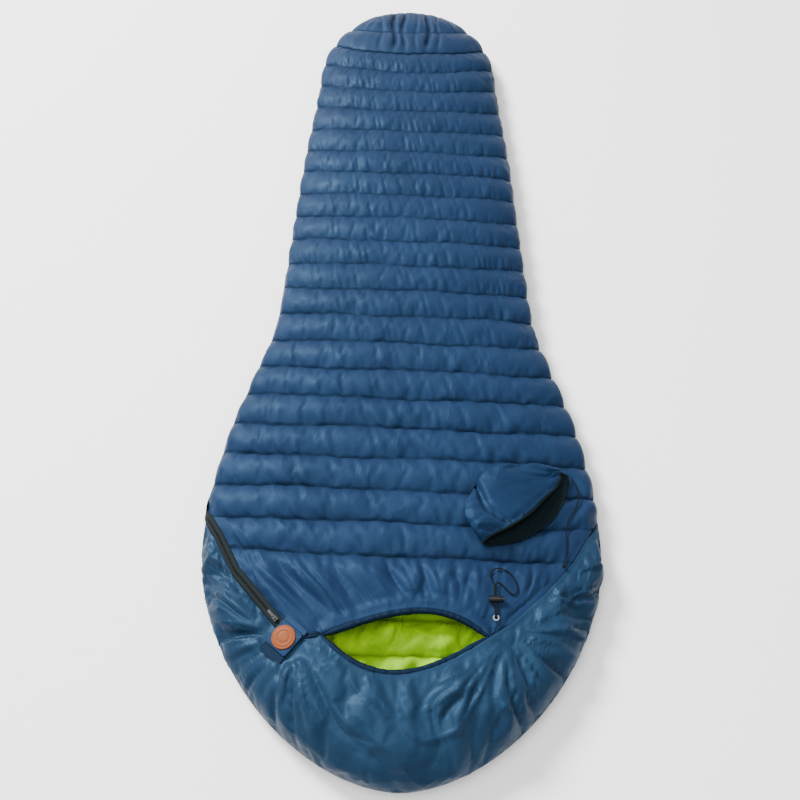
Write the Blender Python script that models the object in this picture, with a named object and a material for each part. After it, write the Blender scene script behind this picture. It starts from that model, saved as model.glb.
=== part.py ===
"""A mummy sleeping bag, zipped up and lying on its back, with its empty stuff sack on its chest.

Metres, +Z up. The bag lies along Y with its hood at -Y and its feet at +Y; X runs across it. The origin is
on the floor under the middle of the bag. Every soft layer is a slab between two depths under the outer skin.
"""

import math

import bmesh
import bpy
from mathutils import Matrix, Vector

# Driving dimensions of the bag.
HALF_LENGTH = 1.035
SHOULDER_HALF = 0.400
SHOULDER_Y = -0.561
FOOT_HALF = 0.2295
FOOT_Y = 0.765
SIDE_STATIONS = ((SHOULDER_Y, SHOULDER_HALF), (-0.330, 0.371), (-0.184, 0.3305), (-0.050, 0.292),
                 (0.092, 0.279), (0.472, 0.2555), (FOOT_Y, FOOT_HALF))
SEAM_Z = 0.039
CREST_LOFT = 0.061
HOOD_LOFT = 0.018
HOOD_CREST_Y = -0.890

# Depths of each layer under the outer skin.
SHELL_LAYER = (0.0, 0.0015)
FILL_LAYER = (0.0025, 0.0345)
LINING_LAYER = (0.0365, 0.0377)
GAP = 0.0004
SEAM_GAP = 0.0010
LAYERS = (("shell", SHELL_LAYER, "shell_fabric"), ("fill", FILL_LAYER, "insulation"),
          ("lining", LINING_LAYER, "lining_fabric"))

# Sewn-through baffles across the bag.
BAFFLE = 0.0703
FIRST_SEAM_Y = -0.607
FIRST_FULL_SEAM = 2
FOOTBOX_SEAM = 20
NECK_Y = -0.600
FOOTBOX_Y = FIRST_SEAM_Y + BAFFLE * FOOTBOX_SEAM

# Face opening: two arcs that meet at its corners.
MOUTH_X = 0.015
MOUTH_HALF = 0.165
UPPER_LIP_Y = -0.719
LOWER_LIP_Y = -0.846
CORNER_Y = -0.771
CHANNEL_RADIUS = 0.0042

# Seams from the corners of the face opening out to the sides. The left one holds the zip.
ZIP_TOP = (-0.203, -0.778)
ZIP_BEND = (-0.323, -0.640)
ZIP_SHOULDER = (-0.363, -0.567)
SIDE_CORNER_Y = -0.511
RIGHT_SEAM = ((0.210, -0.741), (0.276, -0.680), (0.334, -0.615))

# The zip, and the corner of the front panel that it frees.
ZIP_END_Y = 0.105
TAPE_HALF = 0.011
TOOTH_HALF = 0.0018
ZIP_LIFT = 0.0017
FOLD_START_X = 0.112
FOLD_END_Y = 0.115
SLIDER_ALONG = 0.048
SLIDER_LENGTH = 0.012
SLIDER_RIDE = 0.0006
PULL_LENGTH = 0.022

# The closure tab over the top of the zip.
TAB_CENTRE = (-0.215, -0.779)
TAB_ANGLE = math.radians(-40.0)
TAB_HALF = 0.026
BADGE_RADIUS = 0.023

# The drawcord of the hood and its cord lock.
CORD_RADIUS = 0.00125
STRAND_X = 0.0015
EYELET = (0.178, -0.735)
LOCK_Y = -0.700
LOCK_LIFT = 0.0067

# The stuff sack: mouth centre, direction along the mouth, width and depth.
SACK_MOUTH = (0.247, -0.508)
SACK_ANGLE = math.radians(42.9)
SACK_HALF = 0.122
SACK_DEPTH = 0.130
SACK_LOFT = 0.046
SACK_LIFT = 0.0025

MATERIALS = {
    "shell_fabric": ((0.045, 0.128, 0.263), 0.62, 0.0),
    "hood_fabric": ((0.030, 0.115, 0.205), 0.62, 0.0),
    "lining_fabric": ((0.376, 0.604, 0.045), 0.70, 0.0),
    "insulation": ((0.80, 0.80, 0.78), 0.95, 0.0),
    "binding": ((0.012, 0.026, 0.080), 0.70, 0.0),
    "zip_tape": ((0.030, 0.045, 0.038), 0.80, 0.0),
    "black_plastic": ((0.012, 0.012, 0.013), 0.42, 0.0),
    "steel": ((0.62, 0.63, 0.65), 0.28, 1.0),
    "patch_leather": ((0.610, 0.188, 0.061), 0.55, 0.0),
    "hook_and_loop": ((0.022, 0.060, 0.125), 0.92, 0.0),
    "cord": ((0.020, 0.024, 0.028), 0.75, 0.0),
    "sack_fabric": ((0.050, 0.140, 0.275), 0.60, 0.0),
}


# ---- the surface that every layer follows ----

def half_width(y):
    """Half the bag's width at a station, rounded off at the hood and at the feet."""
    if y <= SHOULDER_Y:
        reach = min(1.0, (SHOULDER_Y - y) / (HALF_LENGTH + SHOULDER_Y))
        return SHOULDER_HALF * (1.0 - reach ** 1.8) ** 0.56
    if y >= FOOT_Y:
        reach = min(1.0, (y - FOOT_Y) / (HALF_LENGTH - FOOT_Y))
        return FOOT_HALF * math.sqrt(1.0 - reach * reach)
    return side_curve(y)


def side_curve(y):
    """A smooth curve through the side stations."""
    points = SIDE_STATIONS
    slopes = [0.0] + [(c[1] - a[1]) / (c[0] - a[0]) for a, c in zip(points, points[2:])] + [-0.05]
    i = max(k for k in range(len(points) - 1) if y >= points[k][0] - 1e-9)
    (ya, wa), (yb, wb) = points[i], points[i + 1]
    step = yb - ya
    t = (y - ya) / step
    blend = t * t * (3.0 - 2.0 * t)
    ease = t * (1.0 - t)
    return wa + (wb - wa) * blend + step * ease * (slopes[i] * (1.0 - t) - slopes[i + 1] * t)


def end_reach(y, start, end):
    return min(1.0, max(0.0, (y - start) / (end - start)))


def end_fade(y, power):
    """1 along the bag, falling to 0 at the very end of the hood and of the feet."""
    reach = max(end_reach(y, -0.720, -HALF_LENGTH), end_reach(y, 0.800, HALF_LENGTH))
    return math.sqrt(max(0.0, 1.0 - reach ** power))


def across(x, y):
    """0 on the centre line, 1 on the outline."""
    width = half_width(y)
    return 1.0 if width < 1e-6 else min(1.0, abs(x) / width)


def inset(x, y, depth, pull):
    """Where a point of the plan goes for a layer at that depth: in from the sides, and with a pull, from the end."""
    return x * (1.0 - across(x, y) ** 2 * depth / SHOULDER_HALF), y * (1.0 - pull * depth / HALF_LENGTH)


def top_z(x, y, depth=0.0):
    loft = CREST_LOFT + HOOD_LOFT * math.exp(-(((y - HOOD_CREST_Y) / 0.160) ** 2))
    dome = (1.0 - across(x, y) ** 2.4) ** 0.55
    return SEAM_Z + GAP / 2 + (loft - depth) * dome * end_fade(y, 2.5)


def top_point(x, y, depth, pull=0.0):
    return Vector((*inset(x, y, depth, pull), top_z(x, y, depth)))


def bottom_point(x, y, depth, pull=0.0):
    edge = SEAM_Z - GAP / 2
    flat = min(1.0, 1.25 * math.sqrt(1.0 - across(x, y) ** 4) * end_fade(y, 4.0))
    return Vector((*inset(x, y, depth, pull), edge - (edge - depth) * flat))


def lip_y(x, middle):
    """One lip of the face opening: a parabola from the middle out to the corner."""
    return middle + (CORNER_Y - middle) * ((x - MOUTH_X) / MOUTH_HALF) ** 2


def neckline(lip_middle):
    """Plan points of the front panel's lower edge, or with the lower lip, of the hood's upper edge."""
    side = half_width(SIDE_CORNER_Y)
    lip = [MOUTH_X + MOUTH_HALF * step for step in (-1.0, -0.5, 0.0, 0.5, 1.0)]
    return ([(-side, SIDE_CORNER_Y), ZIP_SHOULDER, ZIP_BEND, ZIP_TOP] + [(x, lip_y(x, lip_middle)) for x in lip]
            + list(RIGHT_SEAM) + [(side, SIDE_CORNER_Y)])


# ---- mesh helpers ----

def material(name):
    if name in bpy.data.materials:
        return bpy.data.materials[name]
    colour, roughness, metallic = MATERIALS[name]
    made = bpy.data.materials.new(name)
    made.use_nodes = True
    made.diffuse_color = (*colour, 1.0)
    shader = made.node_tree.nodes["Principled BSDF"]
    shader.inputs["Base Color"].default_value = (*colour, 1.0)
    shader.inputs["Roughness"].default_value = roughness
    shader.inputs["Metallic"].default_value = metallic
    return made


def add_object(name, data, finish):
    made = bpy.data.objects.new(name, data)
    data.materials.append(material(finish))
    bpy.context.scene.collection.objects.link(made)
    return made


def mesh_object(name, points, faces, finish):
    """A closed mesh with its faces turned outward, in triangles."""
    mesh = bpy.data.meshes.new(name)
    mesh.from_pydata([tuple(p) for p in points], [], faces)
    work = bmesh.new()
    work.from_mesh(mesh)
    bmesh.ops.triangulate(work, faces=work.faces[:])
    bmesh.ops.recalc_face_normals(work, faces=work.faces[:])
    if work.calc_volume(signed=True) < 0:
        bmesh.ops.reverse_faces(work, faces=work.faces[:])
    work.to_mesh(mesh)
    work.free()
    mesh.shade_smooth()
    mesh.set_sharp_from_angle(angle=math.radians(40))
    return add_object(name, mesh, finish)


def slab(name, outer, inner, finish):
    """A closed slab between two grids of the same size, walled along its four edges."""
    rows, columns = len(outer), len(outer[0])
    points = [p for grid in (outer, inner) for row in grid for p in row]
    other = rows * columns
    faces = []
    for r in range(rows - 1):
        for c in range(columns - 1):
            a = r * columns + c
            faces.append((a, a + 1, a + columns + 1, a + columns))
            faces.append((other + a, other + a + columns, other + a + columns + 1, other + a + 1))
    rim = [c for c in range(columns)]
    rim += [r * columns + columns - 1 for r in range(1, rows)]
    rim += [(rows - 1) * columns + c for c in range(columns - 2, -1, -1)]
    rim += [r * columns for r in range(rows - 2, 0, -1)]
    for a, b in zip(rim, rim[1:] + rim[:1]):
        faces.append((a, other + a, other + b, b))
    return mesh_object(name, points, faces, finish)


def cup(name, outer, inner, finish):
    """A closed pod of rings that end in a pole, open at its first ring, where the two skins are walled together."""
    around = len(outer[0])
    points, faces = [], []
    for rings in (outer, inner):
        base = len(points)
        for ring in rings[:-1]:
            points.extend(ring)
        points.append(rings[-1][0])
        pole = len(points) - 1
        for r in range(len(rings) - 2):
            for c in range(around):
                a, b = base + r * around + c, base + r * around + (c + 1) % around
                faces.append((a, b, b + around, a + around))
        last = base + (len(rings) - 2) * around
        faces += [(last + c, last + (c + 1) % around, pole) for c in range(around)]
    other = (len(outer) - 1) * around + 1
    faces += [(c, (c + 1) % around, other + (c + 1) % around, other + c) for c in range(around)]
    return mesh_object(name, points, faces, finish)


def box(name, low, high, finish):
    corners = [(x, y, z) for z in (low[2], high[2]) for y in (low[1], high[1]) for x in (low[0], high[0])]
    faces = [(0, 2, 3, 1), (4, 5, 7, 6), (0, 1, 5, 4), (2, 6, 7, 3), (0, 4, 6, 2), (1, 3, 7, 5)]
    return mesh_object(name, corners, faces, finish)


def prism(name, outline, low, high, finish, axis="Z"):
    """An outline in the plane across an axis, extruded along it."""
    place = {"X": lambda p, h: (h, p[0], p[1]), "Y": lambda p, h: (p[0], h, p[1]), "Z": lambda p, h: (p[0], p[1], h)}
    count = len(outline)
    points = [place[axis](p, h) for h in (low, high) for p in outline]
    faces = [tuple(range(count))[::-1], tuple(range(count, 2 * count))]
    faces += [(i, (i + 1) % count, count + (i + 1) % count, count + i) for i in range(count)]
    return mesh_object(name, points, faces, finish)


def circle(radius, sides, centre=(0.0, 0.0)):
    turn = 2 * math.pi / sides
    return [(centre[0] + radius * math.cos(turn * i), centre[1] + radius * math.sin(turn * i)) for i in range(sides)]


def rounded_rectangle(half_x, half_y, radius, centre=(0.0, 0.0), steps=3):
    points = []
    for corner, (sx, sy) in enumerate(((1, 1), (-1, 1), (-1, -1), (1, -1))):
        for step in range(steps + 1):
            angle = math.pi / 2 * (corner + step / steps)
            points.append((centre[0] + sx * (half_x - radius) + radius * math.cos(angle),
                           centre[1] + sy * (half_y - radius) + radius * math.sin(angle)))
    return points


def boolean(target, cutter, operation):
    """Cuts or joins with a helper that stays hidden."""
    change = target.modifiers.new(cutter.name, "BOOLEAN")
    change.operation = operation
    change.solver = "EXACT"
    change.object = cutter
    cutter.hide_render = True
    cutter.display_type = "WIRE"


def move(made, matrix):
    made.matrix_world = matrix


def smooth_route(route, spacing):
    """Points a fixed step apart along a smooth curve through the route's own points."""
    ends = [route[0] * 2 - route[1]] + route + [route[-1] * 2 - route[-2]]
    fine = []
    for a, b, c, d in zip(ends, ends[1:], ends[2:], ends[3:]):
        for step in range(24):
            t = step / 24
            fine.append(0.5 * (2 * b + (c - a) * t + (2 * a - 5 * b + 4 * c - d) * t * t
                               + (3 * b - a - 3 * c + d) * t ** 3))
    fine.append(route[-1])
    picked = [fine[0]]
    walked = 0.0
    for a, b in zip(fine, fine[1:]):
        walked += (b - a).length
        if walked >= spacing:
            picked.append(b)
            walked = 0.0
    if (picked[-1] - fine[-1]).length > spacing / 2:
        picked.append(fine[-1])
    else:
        picked[-1] = fine[-1]
    return picked


def tube(name, points, radius, finish, closed=False, sides=2):
    curve = bpy.data.curves.new(name, "CURVE")
    curve.dimensions = "3D"
    curve.bevel_depth = radius
    curve.bevel_resolution = sides
    curve.use_fill_caps = not closed
    spline = curve.splines.new("POLY")
    spline.points.add(len(points) - 1)
    for place, point in zip(spline.points, points):
        place.co = (*point, 1.0)
    spline.use_cyclic_u = closed
    return add_object(name, curve, finish)


# ---- layers of the bag ----

def back_grid(depth):
    columns = (-1.0, -0.95, -0.77, 0.0, 0.77, 0.95, 1.0)
    rows = 20
    low, high = NECK_Y + GAP / 2, FOOTBOX_Y - GAP / 2
    stations = [low + (high - low) * r / rows for r in range(rows + 1)]
    return [[bottom_point(u * half_width(y), y, depth) for u in columns] for y in stations]


def between(a, b, t, side=0.0):
    """A plan point part of the way from one to another, or where side says so, on that side's outline."""
    x, y = a[0] + (b[0] - a[0]) * t, a[1] + (b[1] - a[1]) * t
    return (side * half_width(y), y) if side else (x, y)


def edge_sides(edge):
    """-1 for the first plan point of an edge, which is on the left outline, 1 for the last, 0 between them."""
    return [-1.0] + [0.0] * (len(edge) - 2) + [1.0]


def front_grid(depth):
    """Rows bend from the neckline to the first full-width seam, then run straight across to the footbox."""
    edge = neckline(UPPER_LIP_Y)
    shares = [x / half_width(y) for x, y in edge]
    first = FIRST_SEAM_Y + BAFFLE * FIRST_FULL_SEAM
    straight = [(u * half_width(first), first) for u in shares]
    grid = []
    for t in (0.0, 0.33, 0.67):
        plan = [between(a, b, t, side) for a, b, side in zip(edge, straight, edge_sides(edge))]
        grid.append([top_point(x, y, depth) for x, y in plan])
    for point in grid[0]:
        point.y += SEAM_GAP / 2
    for r in range(FOOTBOX_SEAM - FIRST_FULL_SEAM + 1):
        y = min(first + BAFFLE * r, FOOTBOX_Y - GAP / 2)
        grid.append([top_point(u * half_width(y), y, depth) for u in shares])
    return grid


def hood_outline(angle):
    """The hood's outline by angle, from the left side round the crown to the right."""
    reach = HALF_LENGTH + SHOULDER_Y
    cosine = math.cos(angle)
    return (-math.copysign(SHOULDER_HALF * abs(cosine) ** 1.12, cosine), SHOULDER_Y - reach * math.sin(angle) ** 1.111)


def crown_pull(y):
    """Inner layers of the hood draw in lengthways round its crown, and not at the neck."""
    return end_reach(y, NECK_Y, NECK_Y - 0.120)


def hood_grid(depth):
    """From the neckline over the top of the hood, round its outline and back under the head to the neck."""
    edge = neckline(LOWER_LIP_Y)
    sides = edge_sides(edge)
    start = 0.125
    step = (math.pi - 2 * start) / (len(edge) - 1)
    outline = [hood_outline(start + step * j) for j in range(len(edge))]
    neck = NECK_Y - GAP / 2
    under = [(x / half_width(y) * half_width(neck), neck) for x, y in edge]
    grid = []
    for t in (0.0, 0.40, 0.75, 0.93, 1.0):
        plan = [between(a, b, t, side) for a, b, side in zip(edge, outline, sides)]
        grid.append([top_point(x, y, depth, t * crown_pull(y)) for x, y in plan])
    for point in grid[0]:
        point.y -= SEAM_GAP / 2
    for t in (0.12, 0.45, 1.0):
        plan = [between(a, b, t, side) for a, b, side in zip(outline, under, sides)]
        grid.append([bottom_point(x, y, depth, (1 - t) * crown_pull(y)) for x, y in plan])
    return grid


def footbox_rings(depth):
    shares = (-1.0, -0.92, -0.70, 0.0, 0.70, 0.92)
    start = FOOTBOX_Y + GAP / 2
    rings = []
    for t in (0.0, 0.30, 0.55, 0.76, 0.90, 0.97, 1.0):
        y = start + (HALF_LENGTH - start) * t
        width = half_width(y)
        ring = [top_point(u * width, y, depth, t) for u in shares]
        ring += [bottom_point(-u * width, y, depth, t) for u in shares]
        rings.append(ring)
    return rings


def fold_line():
    """Start and end of the line that the zipped corner of the front panel folds on, at the top of the bag."""
    start = Vector((FOLD_START_X, lip_y(FOLD_START_X, UPPER_LIP_Y), 0.0))
    end = Vector((-half_width(FOLD_END_Y), FOLD_END_Y, 0.0))
    height = Vector((0.0, 0.0, SEAM_Z + CREST_LOFT + 0.009))
    return start + height, end + height


def fold_cutter(name, side):
    """A tall block with one face just off the fold plane. side is 1 for the zip's side and -1 for the other."""
    start, end = fold_line()
    along = (end - start).normalized() * side
    away = Vector((-along.y, along.x, 0.0))
    frame = Matrix((along, away, Vector((0, 0, 1)))).transposed().to_4x4()
    frame.translation = start
    cutter = box(name, (-3.0, -GAP / 2, -0.5), (3.0, 3.0, 0.5), "insulation")
    cutter.matrix_world = frame
    return cutter


def front_layers():
    """The front panel, split along the fold line into the corner that opens and the part that stays."""
    cut_flap = fold_cutter("cut_flap_side", 1)
    cut_fixed = fold_cutter("cut_fixed_side", -1)
    for layer, (near, far), finish in LAYERS:
        for part, cutter in (("front", cut_flap), ("flap", cut_fixed)):
            made = slab(f"{part}_{layer}", front_grid(near), front_grid(far), finish)
            boolean(made, cutter, "DIFFERENCE")


def body_layers():
    """Back, hood and footbox: an outer shell, the insulation and the lining of each."""
    for layer, (near, far), finish in LAYERS:
        hood_finish = "hood_fabric" if layer == "shell" else finish
        slab(f"back_{layer}", back_grid(near), back_grid(far), finish)
        slab(f"hood_{layer}", hood_grid(near), hood_grid(far), hood_finish)
        cup(f"footbox_{layer}", footbox_rings(near), footbox_rings(far), finish)


# ---- face opening ----

def lip_path(middle, toward, low, high):
    """The drawcord channel's centre line along one lip between two places across the bag."""
    step = MOUTH_HALF / 2
    corners = [MOUTH_X + step * k for k in (-2, -1, 0, 1, 2)]
    places = [low] + [x for x in corners if low < x < high] + [high]
    path = []
    for x in places:
        left = max(c for c in corners[:-1] if c <= x + 1e-9)
        t = (x - left) / step
        y = lip_y(left, middle) * (1 - t) + lip_y(left + step, middle) * t
        path.append(Vector((x, y + toward * (CHANNEL_RADIUS + 0.0012), top_z(x, y) - CHANNEL_RADIUS)))
    return path


def face_channels():
    """The bound drawcord channel round the face: on the flap, on the fixed front and on the hood."""
    left, right = MOUTH_X - MOUTH_HALF + 0.022, MOUTH_X + MOUTH_HALF - 0.022
    tube("face_channel_flap", lip_path(UPPER_LIP_Y, -1, left, FOLD_START_X - 0.006), CHANNEL_RADIUS, "binding")
    tube("face_channel_front", lip_path(UPPER_LIP_Y, -1, FOLD_START_X + 0.006, right), CHANNEL_RADIUS, "binding")
    tube("face_channel_hood", lip_path(LOWER_LIP_Y, 1, left, right), CHANNEL_RADIUS, "binding")


# ---- zip ----

def section(y):
    """Points round the left side of the bag's cross-section, from under it over the side seam to the top, with
    the distance of each from the side seam."""
    width = half_width(y)
    shares = [1.0 - (1.0 - math.cos(math.pi / 2 * k / 60)) for k in range(61)]
    over = [Vector((-u * width, y, top_z(-u * width, y))) for u in shares]
    under = [bottom_point(-u * width, y, 0.0) for u in shares[:40]]
    run = [(0.0, over[0])]
    for sign, points in ((1, over), (-1, under)):
        walked, last = 0.0, points[0]
        for point in points[1:]:
            walked += (point - last).length
            last = point
            run.append((sign * walked, point))
    return sorted(run, key=lambda item: item[0])


def on_section(run, distance, lift):
    """A point at a distance round the section from the side seam, raised off the skin."""
    i = min(max(k for k in range(len(run)) if run[k][0] <= distance), len(run) - 2)
    (da, a), (db, b) = run[i], run[i + 1]
    along = (b - a).normalized()
    normal = Vector((-along.z, 0.0, along.x))
    return a + (b - a) * ((distance - da) / (db - da)) + normal * lift


def zip_x(y):
    """Where the zip lies across the bag, as it runs from the face opening out to the left side seam."""
    side = (-half_width(SIDE_CORNER_Y), SIDE_CORNER_Y)
    for (xa, ya), (xb, yb) in ((ZIP_TOP, ZIP_BEND), (ZIP_BEND, ZIP_SHOULDER), (ZIP_SHOULDER, side)):
        if y <= yb:
            return xa + (xb - xa) * (y - ya) / (yb - ya)
    return -half_width(y)


def zip_stations():
    """Stations along the zip: every bend, and steps between them."""
    bends = [ZIP_TOP[1] + 0.006, ZIP_BEND[1], ZIP_SHOULDER[1], SIDE_CORNER_Y, ZIP_END_Y]
    found = []
    for a, b, count in zip(bends, bends[1:], (4, 3, 6, 12)):
        found += [a + (b - a) * k / count for k in range(count)]
    return found + [ZIP_END_Y]


def zip_strip(name, near, far, lifts, finish):
    """A strip along the zip between two distances from its middle, between two lifts off the skin."""
    grids = ([], [])
    shares = (0, 0.25, 0.5, 0.75, 1) if abs(far) > TOOTH_HALF else (0, 1)
    for y in zip_stations():
        run = section(y)
        x = zip_x(y)
        slope = (zip_x(y + 0.001) - zip_x(y - 0.001)) / 0.002
        stretch = math.hypot(1.0, slope) if y < SIDE_CORNER_Y else 1.0
        middle = min(run, key=lambda item: abs(item[1].x - x) if item[0] >= 0 else 9.0)
        lean = middle[0] + (0.0 if middle[0] == 0 else correction(run, middle[0], x))
        for grid, lift in zip(grids, lifts):
            grid.append([on_section(run, lean + (near + (far - near) * t) * stretch, lift) for t in shares])
    return slab(name, grids[0], grids[1], finish)


def correction(run, distance, x):
    """The small distance from the nearest sampled point of a section to the exact place across the bag."""
    here = on_section(run, distance, 0.0)
    near = on_section(run, distance + 0.001, 0.0)
    return 0.001 * (x - here.x) / (near.x - here.x)


def zip_tapes():
    for side, part in ((1, "flap"), (-1, "bag")):
        zip_strip(f"zip_tape_{part}", side * (TOOTH_HALF + 0.0006), side * TAPE_HALF,
                  (ZIP_LIFT + 0.0008, ZIP_LIFT), "zip_tape")
        zip_strip(f"zip_teeth_{part}", side * 0.0003, side * TOOTH_HALF,
                  (ZIP_LIFT + 0.0020, ZIP_LIFT), "black_plastic")


def zip_frame(along):
    """Place and axes on the zip's straight stretch: X down the zip, Y towards the hood, Z off the skin."""
    plan = Vector(ZIP_BEND) - Vector(ZIP_TOP)
    run = plan.length
    spots = []
    for part in (along - 0.012, along, along + 0.012):
        spot = Vector(ZIP_TOP) + plan * (part / run)
        spots.append(Vector((spot.x, spot.y, top_z(spot.x, spot.y))))
    down = (spots[2] - spots[0]).normalized()
    side = Vector((plan.y, -plan.x)) / run * 0.005
    right = Vector((spots[1].x + side.x, spots[1].y + side.y, 0.0))
    right.z = top_z(right.x, right.y)
    up = down.cross(right - spots[1]).normalized()
    if up.z < 0:
        up = -up
    frame = Matrix((down, up.cross(down), up)).transposed().to_4x4()
    frame.translation = spots[1]
    return frame


def zip_slider():
    """A slider that straddles both rows of teeth, with an arch that the pull hangs on."""
    frame = zip_frame(SLIDER_ALONG) @ Matrix.Translation((0.0, 0.0, ZIP_LIFT + SLIDER_RIDE))
    half = SLIDER_LENGTH / 2
    profile = [(-0.0050, 0.0014), (-0.0024, 0.0014), (-0.0024, 0.0028), (0.0024, 0.0028), (0.0024, 0.0014),
               (0.0050, 0.0014), (0.0050, 0.0038), (0.0040, 0.0044), (-0.0040, 0.0044), (-0.0050, 0.0038)]
    body = prism("zip_slider", profile, -half, half, "black_plastic", "X")
    arch = [(-0.0040, 0.0040), (-0.0028, 0.0040), (-0.0028, 0.0062), (0.0028, 0.0062), (0.0028, 0.0040),
            (0.0040, 0.0040), (0.0040, 0.0066), (0.0030, 0.0074), (-0.0030, 0.0074), (-0.0040, 0.0066)]
    bridge = prism("slider_bridge", arch, -0.0011, 0.0011, "black_plastic", "Y")
    for made in (body, bridge):
        move(made, frame)
    boolean(body, bridge, "UNION")


def zip_pull():
    """A flat pull whose end bar lies under the slider's arch. Its origin is on that bar."""
    frame = zip_frame(SLIDER_ALONG) @ Matrix.Translation((0.0, 0.0, ZIP_LIFT + SLIDER_RIDE + 0.0053))
    outline = rounded_rectangle(PULL_LENGTH / 2, 0.0028, 0.0012, (PULL_LENGTH / 2 - 0.0006, 0.0))
    pull = prism("zip_pull", outline, -0.0005, 0.0005, "black_plastic")
    hole = box("pull_hole", (0.0007, -0.0016, -0.002), (0.0052, 0.0016, 0.002), "black_plastic")
    for made in (pull, hole):
        move(made, frame)
    boolean(pull, hole, "DIFFERENCE")


def zip_stops():
    """Stops at both ends of the teeth. The top one holds the front panel's row."""
    top = box("zip_top_stop", (-0.0036, -0.0021, ZIP_LIFT), (-0.0006, -0.0003, ZIP_LIFT + 0.0022), "black_plastic")
    move(top, zip_frame(0.0055))
    y = ZIP_END_Y + 0.0006
    side = -half_width(y)
    box("zip_bottom_stop", (side - 0.0040, y, SEAM_Z - 0.003), (side - 0.0010, y + 0.005, SEAM_Z + 0.003),
        "black_plastic")


# ---- closure tab over the top of the zip ----

def tab_frame():
    """Origin at the tab's centre on the skin: X along its hinge, Y towards the hinge, Z off the skin."""
    x, y = TAB_CENTRE
    step = 0.02
    slope_x = (top_z(x + step, y) - top_z(x - step, y)) / (2 * step)
    slope_y = (top_z(x, y + step) - top_z(x, y - step)) / (2 * step)
    up = Vector((-slope_x, -slope_y, 1.0)).normalized()
    along = Vector((math.cos(TAB_ANGLE), math.sin(TAB_ANGLE), 0.0))
    along = (along - up * along.dot(up)).normalized()
    frame = Matrix((along, up.cross(along), up)).transposed().to_4x4()
    frame.translation = Vector((x, y, top_z(x, y)))
    return frame


def closure_tab():
    frame = tab_frame()
    half = TAB_HALF
    pieces = [
        prism("loop_patch", rounded_rectangle(half, 0.0195, 0.004, (0.001, -0.0255)), 0.0004, 0.0016,
              "hook_and_loop"),
        prism("hook_patch", rounded_rectangle(0.022, 0.0085, 0.003, (0.001, -0.0145)), 0.0020, 0.0034,
              "hook_and_loop"),
        prism("closure_tab", rounded_rectangle(half, half, 0.004, (0.001, -0.0003)), 0.0042, 0.0062,
              "shell_fabric"),
        prism("badge", circle(BADGE_RADIUS, 28), 0.0066, 0.0092, "patch_leather"),
        prism("tab_anchor", rounded_rectangle(half, 0.005, 0.002, (0.001, 0.0313)), 0.0006, 0.0030,
              "shell_fabric"),
    ]
    for made in pieces:
        move(made, frame)


# ---- drawcord of the hood ----

def cord_eyelet():
    """A metal eyelet in the front panel, where both strands of the drawcord come out."""
    x, y = EYELET
    ring = prism("cord_eyelet", circle(0.0060, 20), 0.0006, 0.0024, "steel")
    hole = prism("eyelet_hole", circle(0.0038, 20), -0.002, 0.006, "steel")
    for made in (ring, hole):
        move(made, Matrix.Translation((x, y, top_z(x, y))))
    boolean(ring, hole, "DIFFERENCE")


def lock_height():
    """The drawcord's height through the lock, which just clears the bag at its inner end."""
    return top_z(EYELET[0] - 0.0125, LOCK_Y) + LOCK_LIFT


def drawcord_route():
    """Out of the eyelet, through the lock, round a loop that lies on the bag, and back beside itself."""
    x, y = EYELET
    high = lock_height()
    low = top_z(x, y)
    up = [(-STRAND_X, y, low + 0.0022), (-STRAND_X, y + 0.0035, low + 0.0052), (-STRAND_X, y + 0.010, high),
          (-STRAND_X, -0.712, high), (-STRAND_X, -0.690, high), (-STRAND_X, -0.671, high)]
    loop = [(-0.004, -0.662), (-0.008, -0.650), (-0.002, -0.639), (0.011, -0.636), (0.026, -0.641),
            (0.037, -0.653), (0.043, -0.668), (0.043, -0.681), (0.036, -0.688), (0.027, -0.683),
            (0.018, -0.673), (0.009, -0.665)]
    lying = [(px, py, top_z(x + px, py) + CORD_RADIUS + 0.0012) for px, py in loop]
    down = [(STRAND_X, py, pz) for _, py, pz in reversed(up)]
    return [Vector((x + px, py, pz)) for px, py, pz in up + lying + down]


def drawcord():
    tube("drawcord", smooth_route(drawcord_route(), 0.0055), CORD_RADIUS, "cord")


def cord_lock():
    """A barrel with a sprung plunger. Both have a slot across them that the two strands pass through."""
    place = Matrix.Translation((EYELET[0], LOCK_Y, lock_height()))
    body = prism("cord_lock_body", circle(0.0062, 16), -0.0125, 0.0085, "black_plastic", "X")
    bore = prism("lock_bore", circle(0.0045, 16), -0.0108, 0.0120, "black_plastic", "X")
    slot = box("lock_slot", (-0.0034, -0.010, -0.0018), (0.0034, 0.010, 0.0018), "black_plastic")
    stem = prism("cord_lock_plunger", circle(0.0040, 16), -0.0052, 0.0150, "black_plastic", "X")
    head = prism("plunger_head", circle(0.0054, 16), 0.0130, 0.0165, "black_plastic", "X")
    window = box("plunger_window", (-0.0036, -0.010, -0.0020), (0.0076, 0.010, 0.0020), "black_plastic")
    turns, steps = 3.5, 8
    count = int(turns * steps)
    coil = [Vector((-0.0101 + 0.0044 * k / count, 0.0030 * math.cos(2 * math.pi * k / steps),
                    0.0030 * math.sin(2 * math.pi * k / steps))) for k in range(count + 1)]
    spring = tube("cord_lock_spring", coil, 0.0003, "steel", sides=1)
    for made in (body, bore, slot, stem, head, window, spring):
        move(made, place)
    boolean(body, bore, "DIFFERENCE")
    boolean(body, slot, "DIFFERENCE")
    boolean(stem, head, "UNION")
    boolean(stem, window, "DIFFERENCE")


# ---- stuff sack ----

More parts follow.
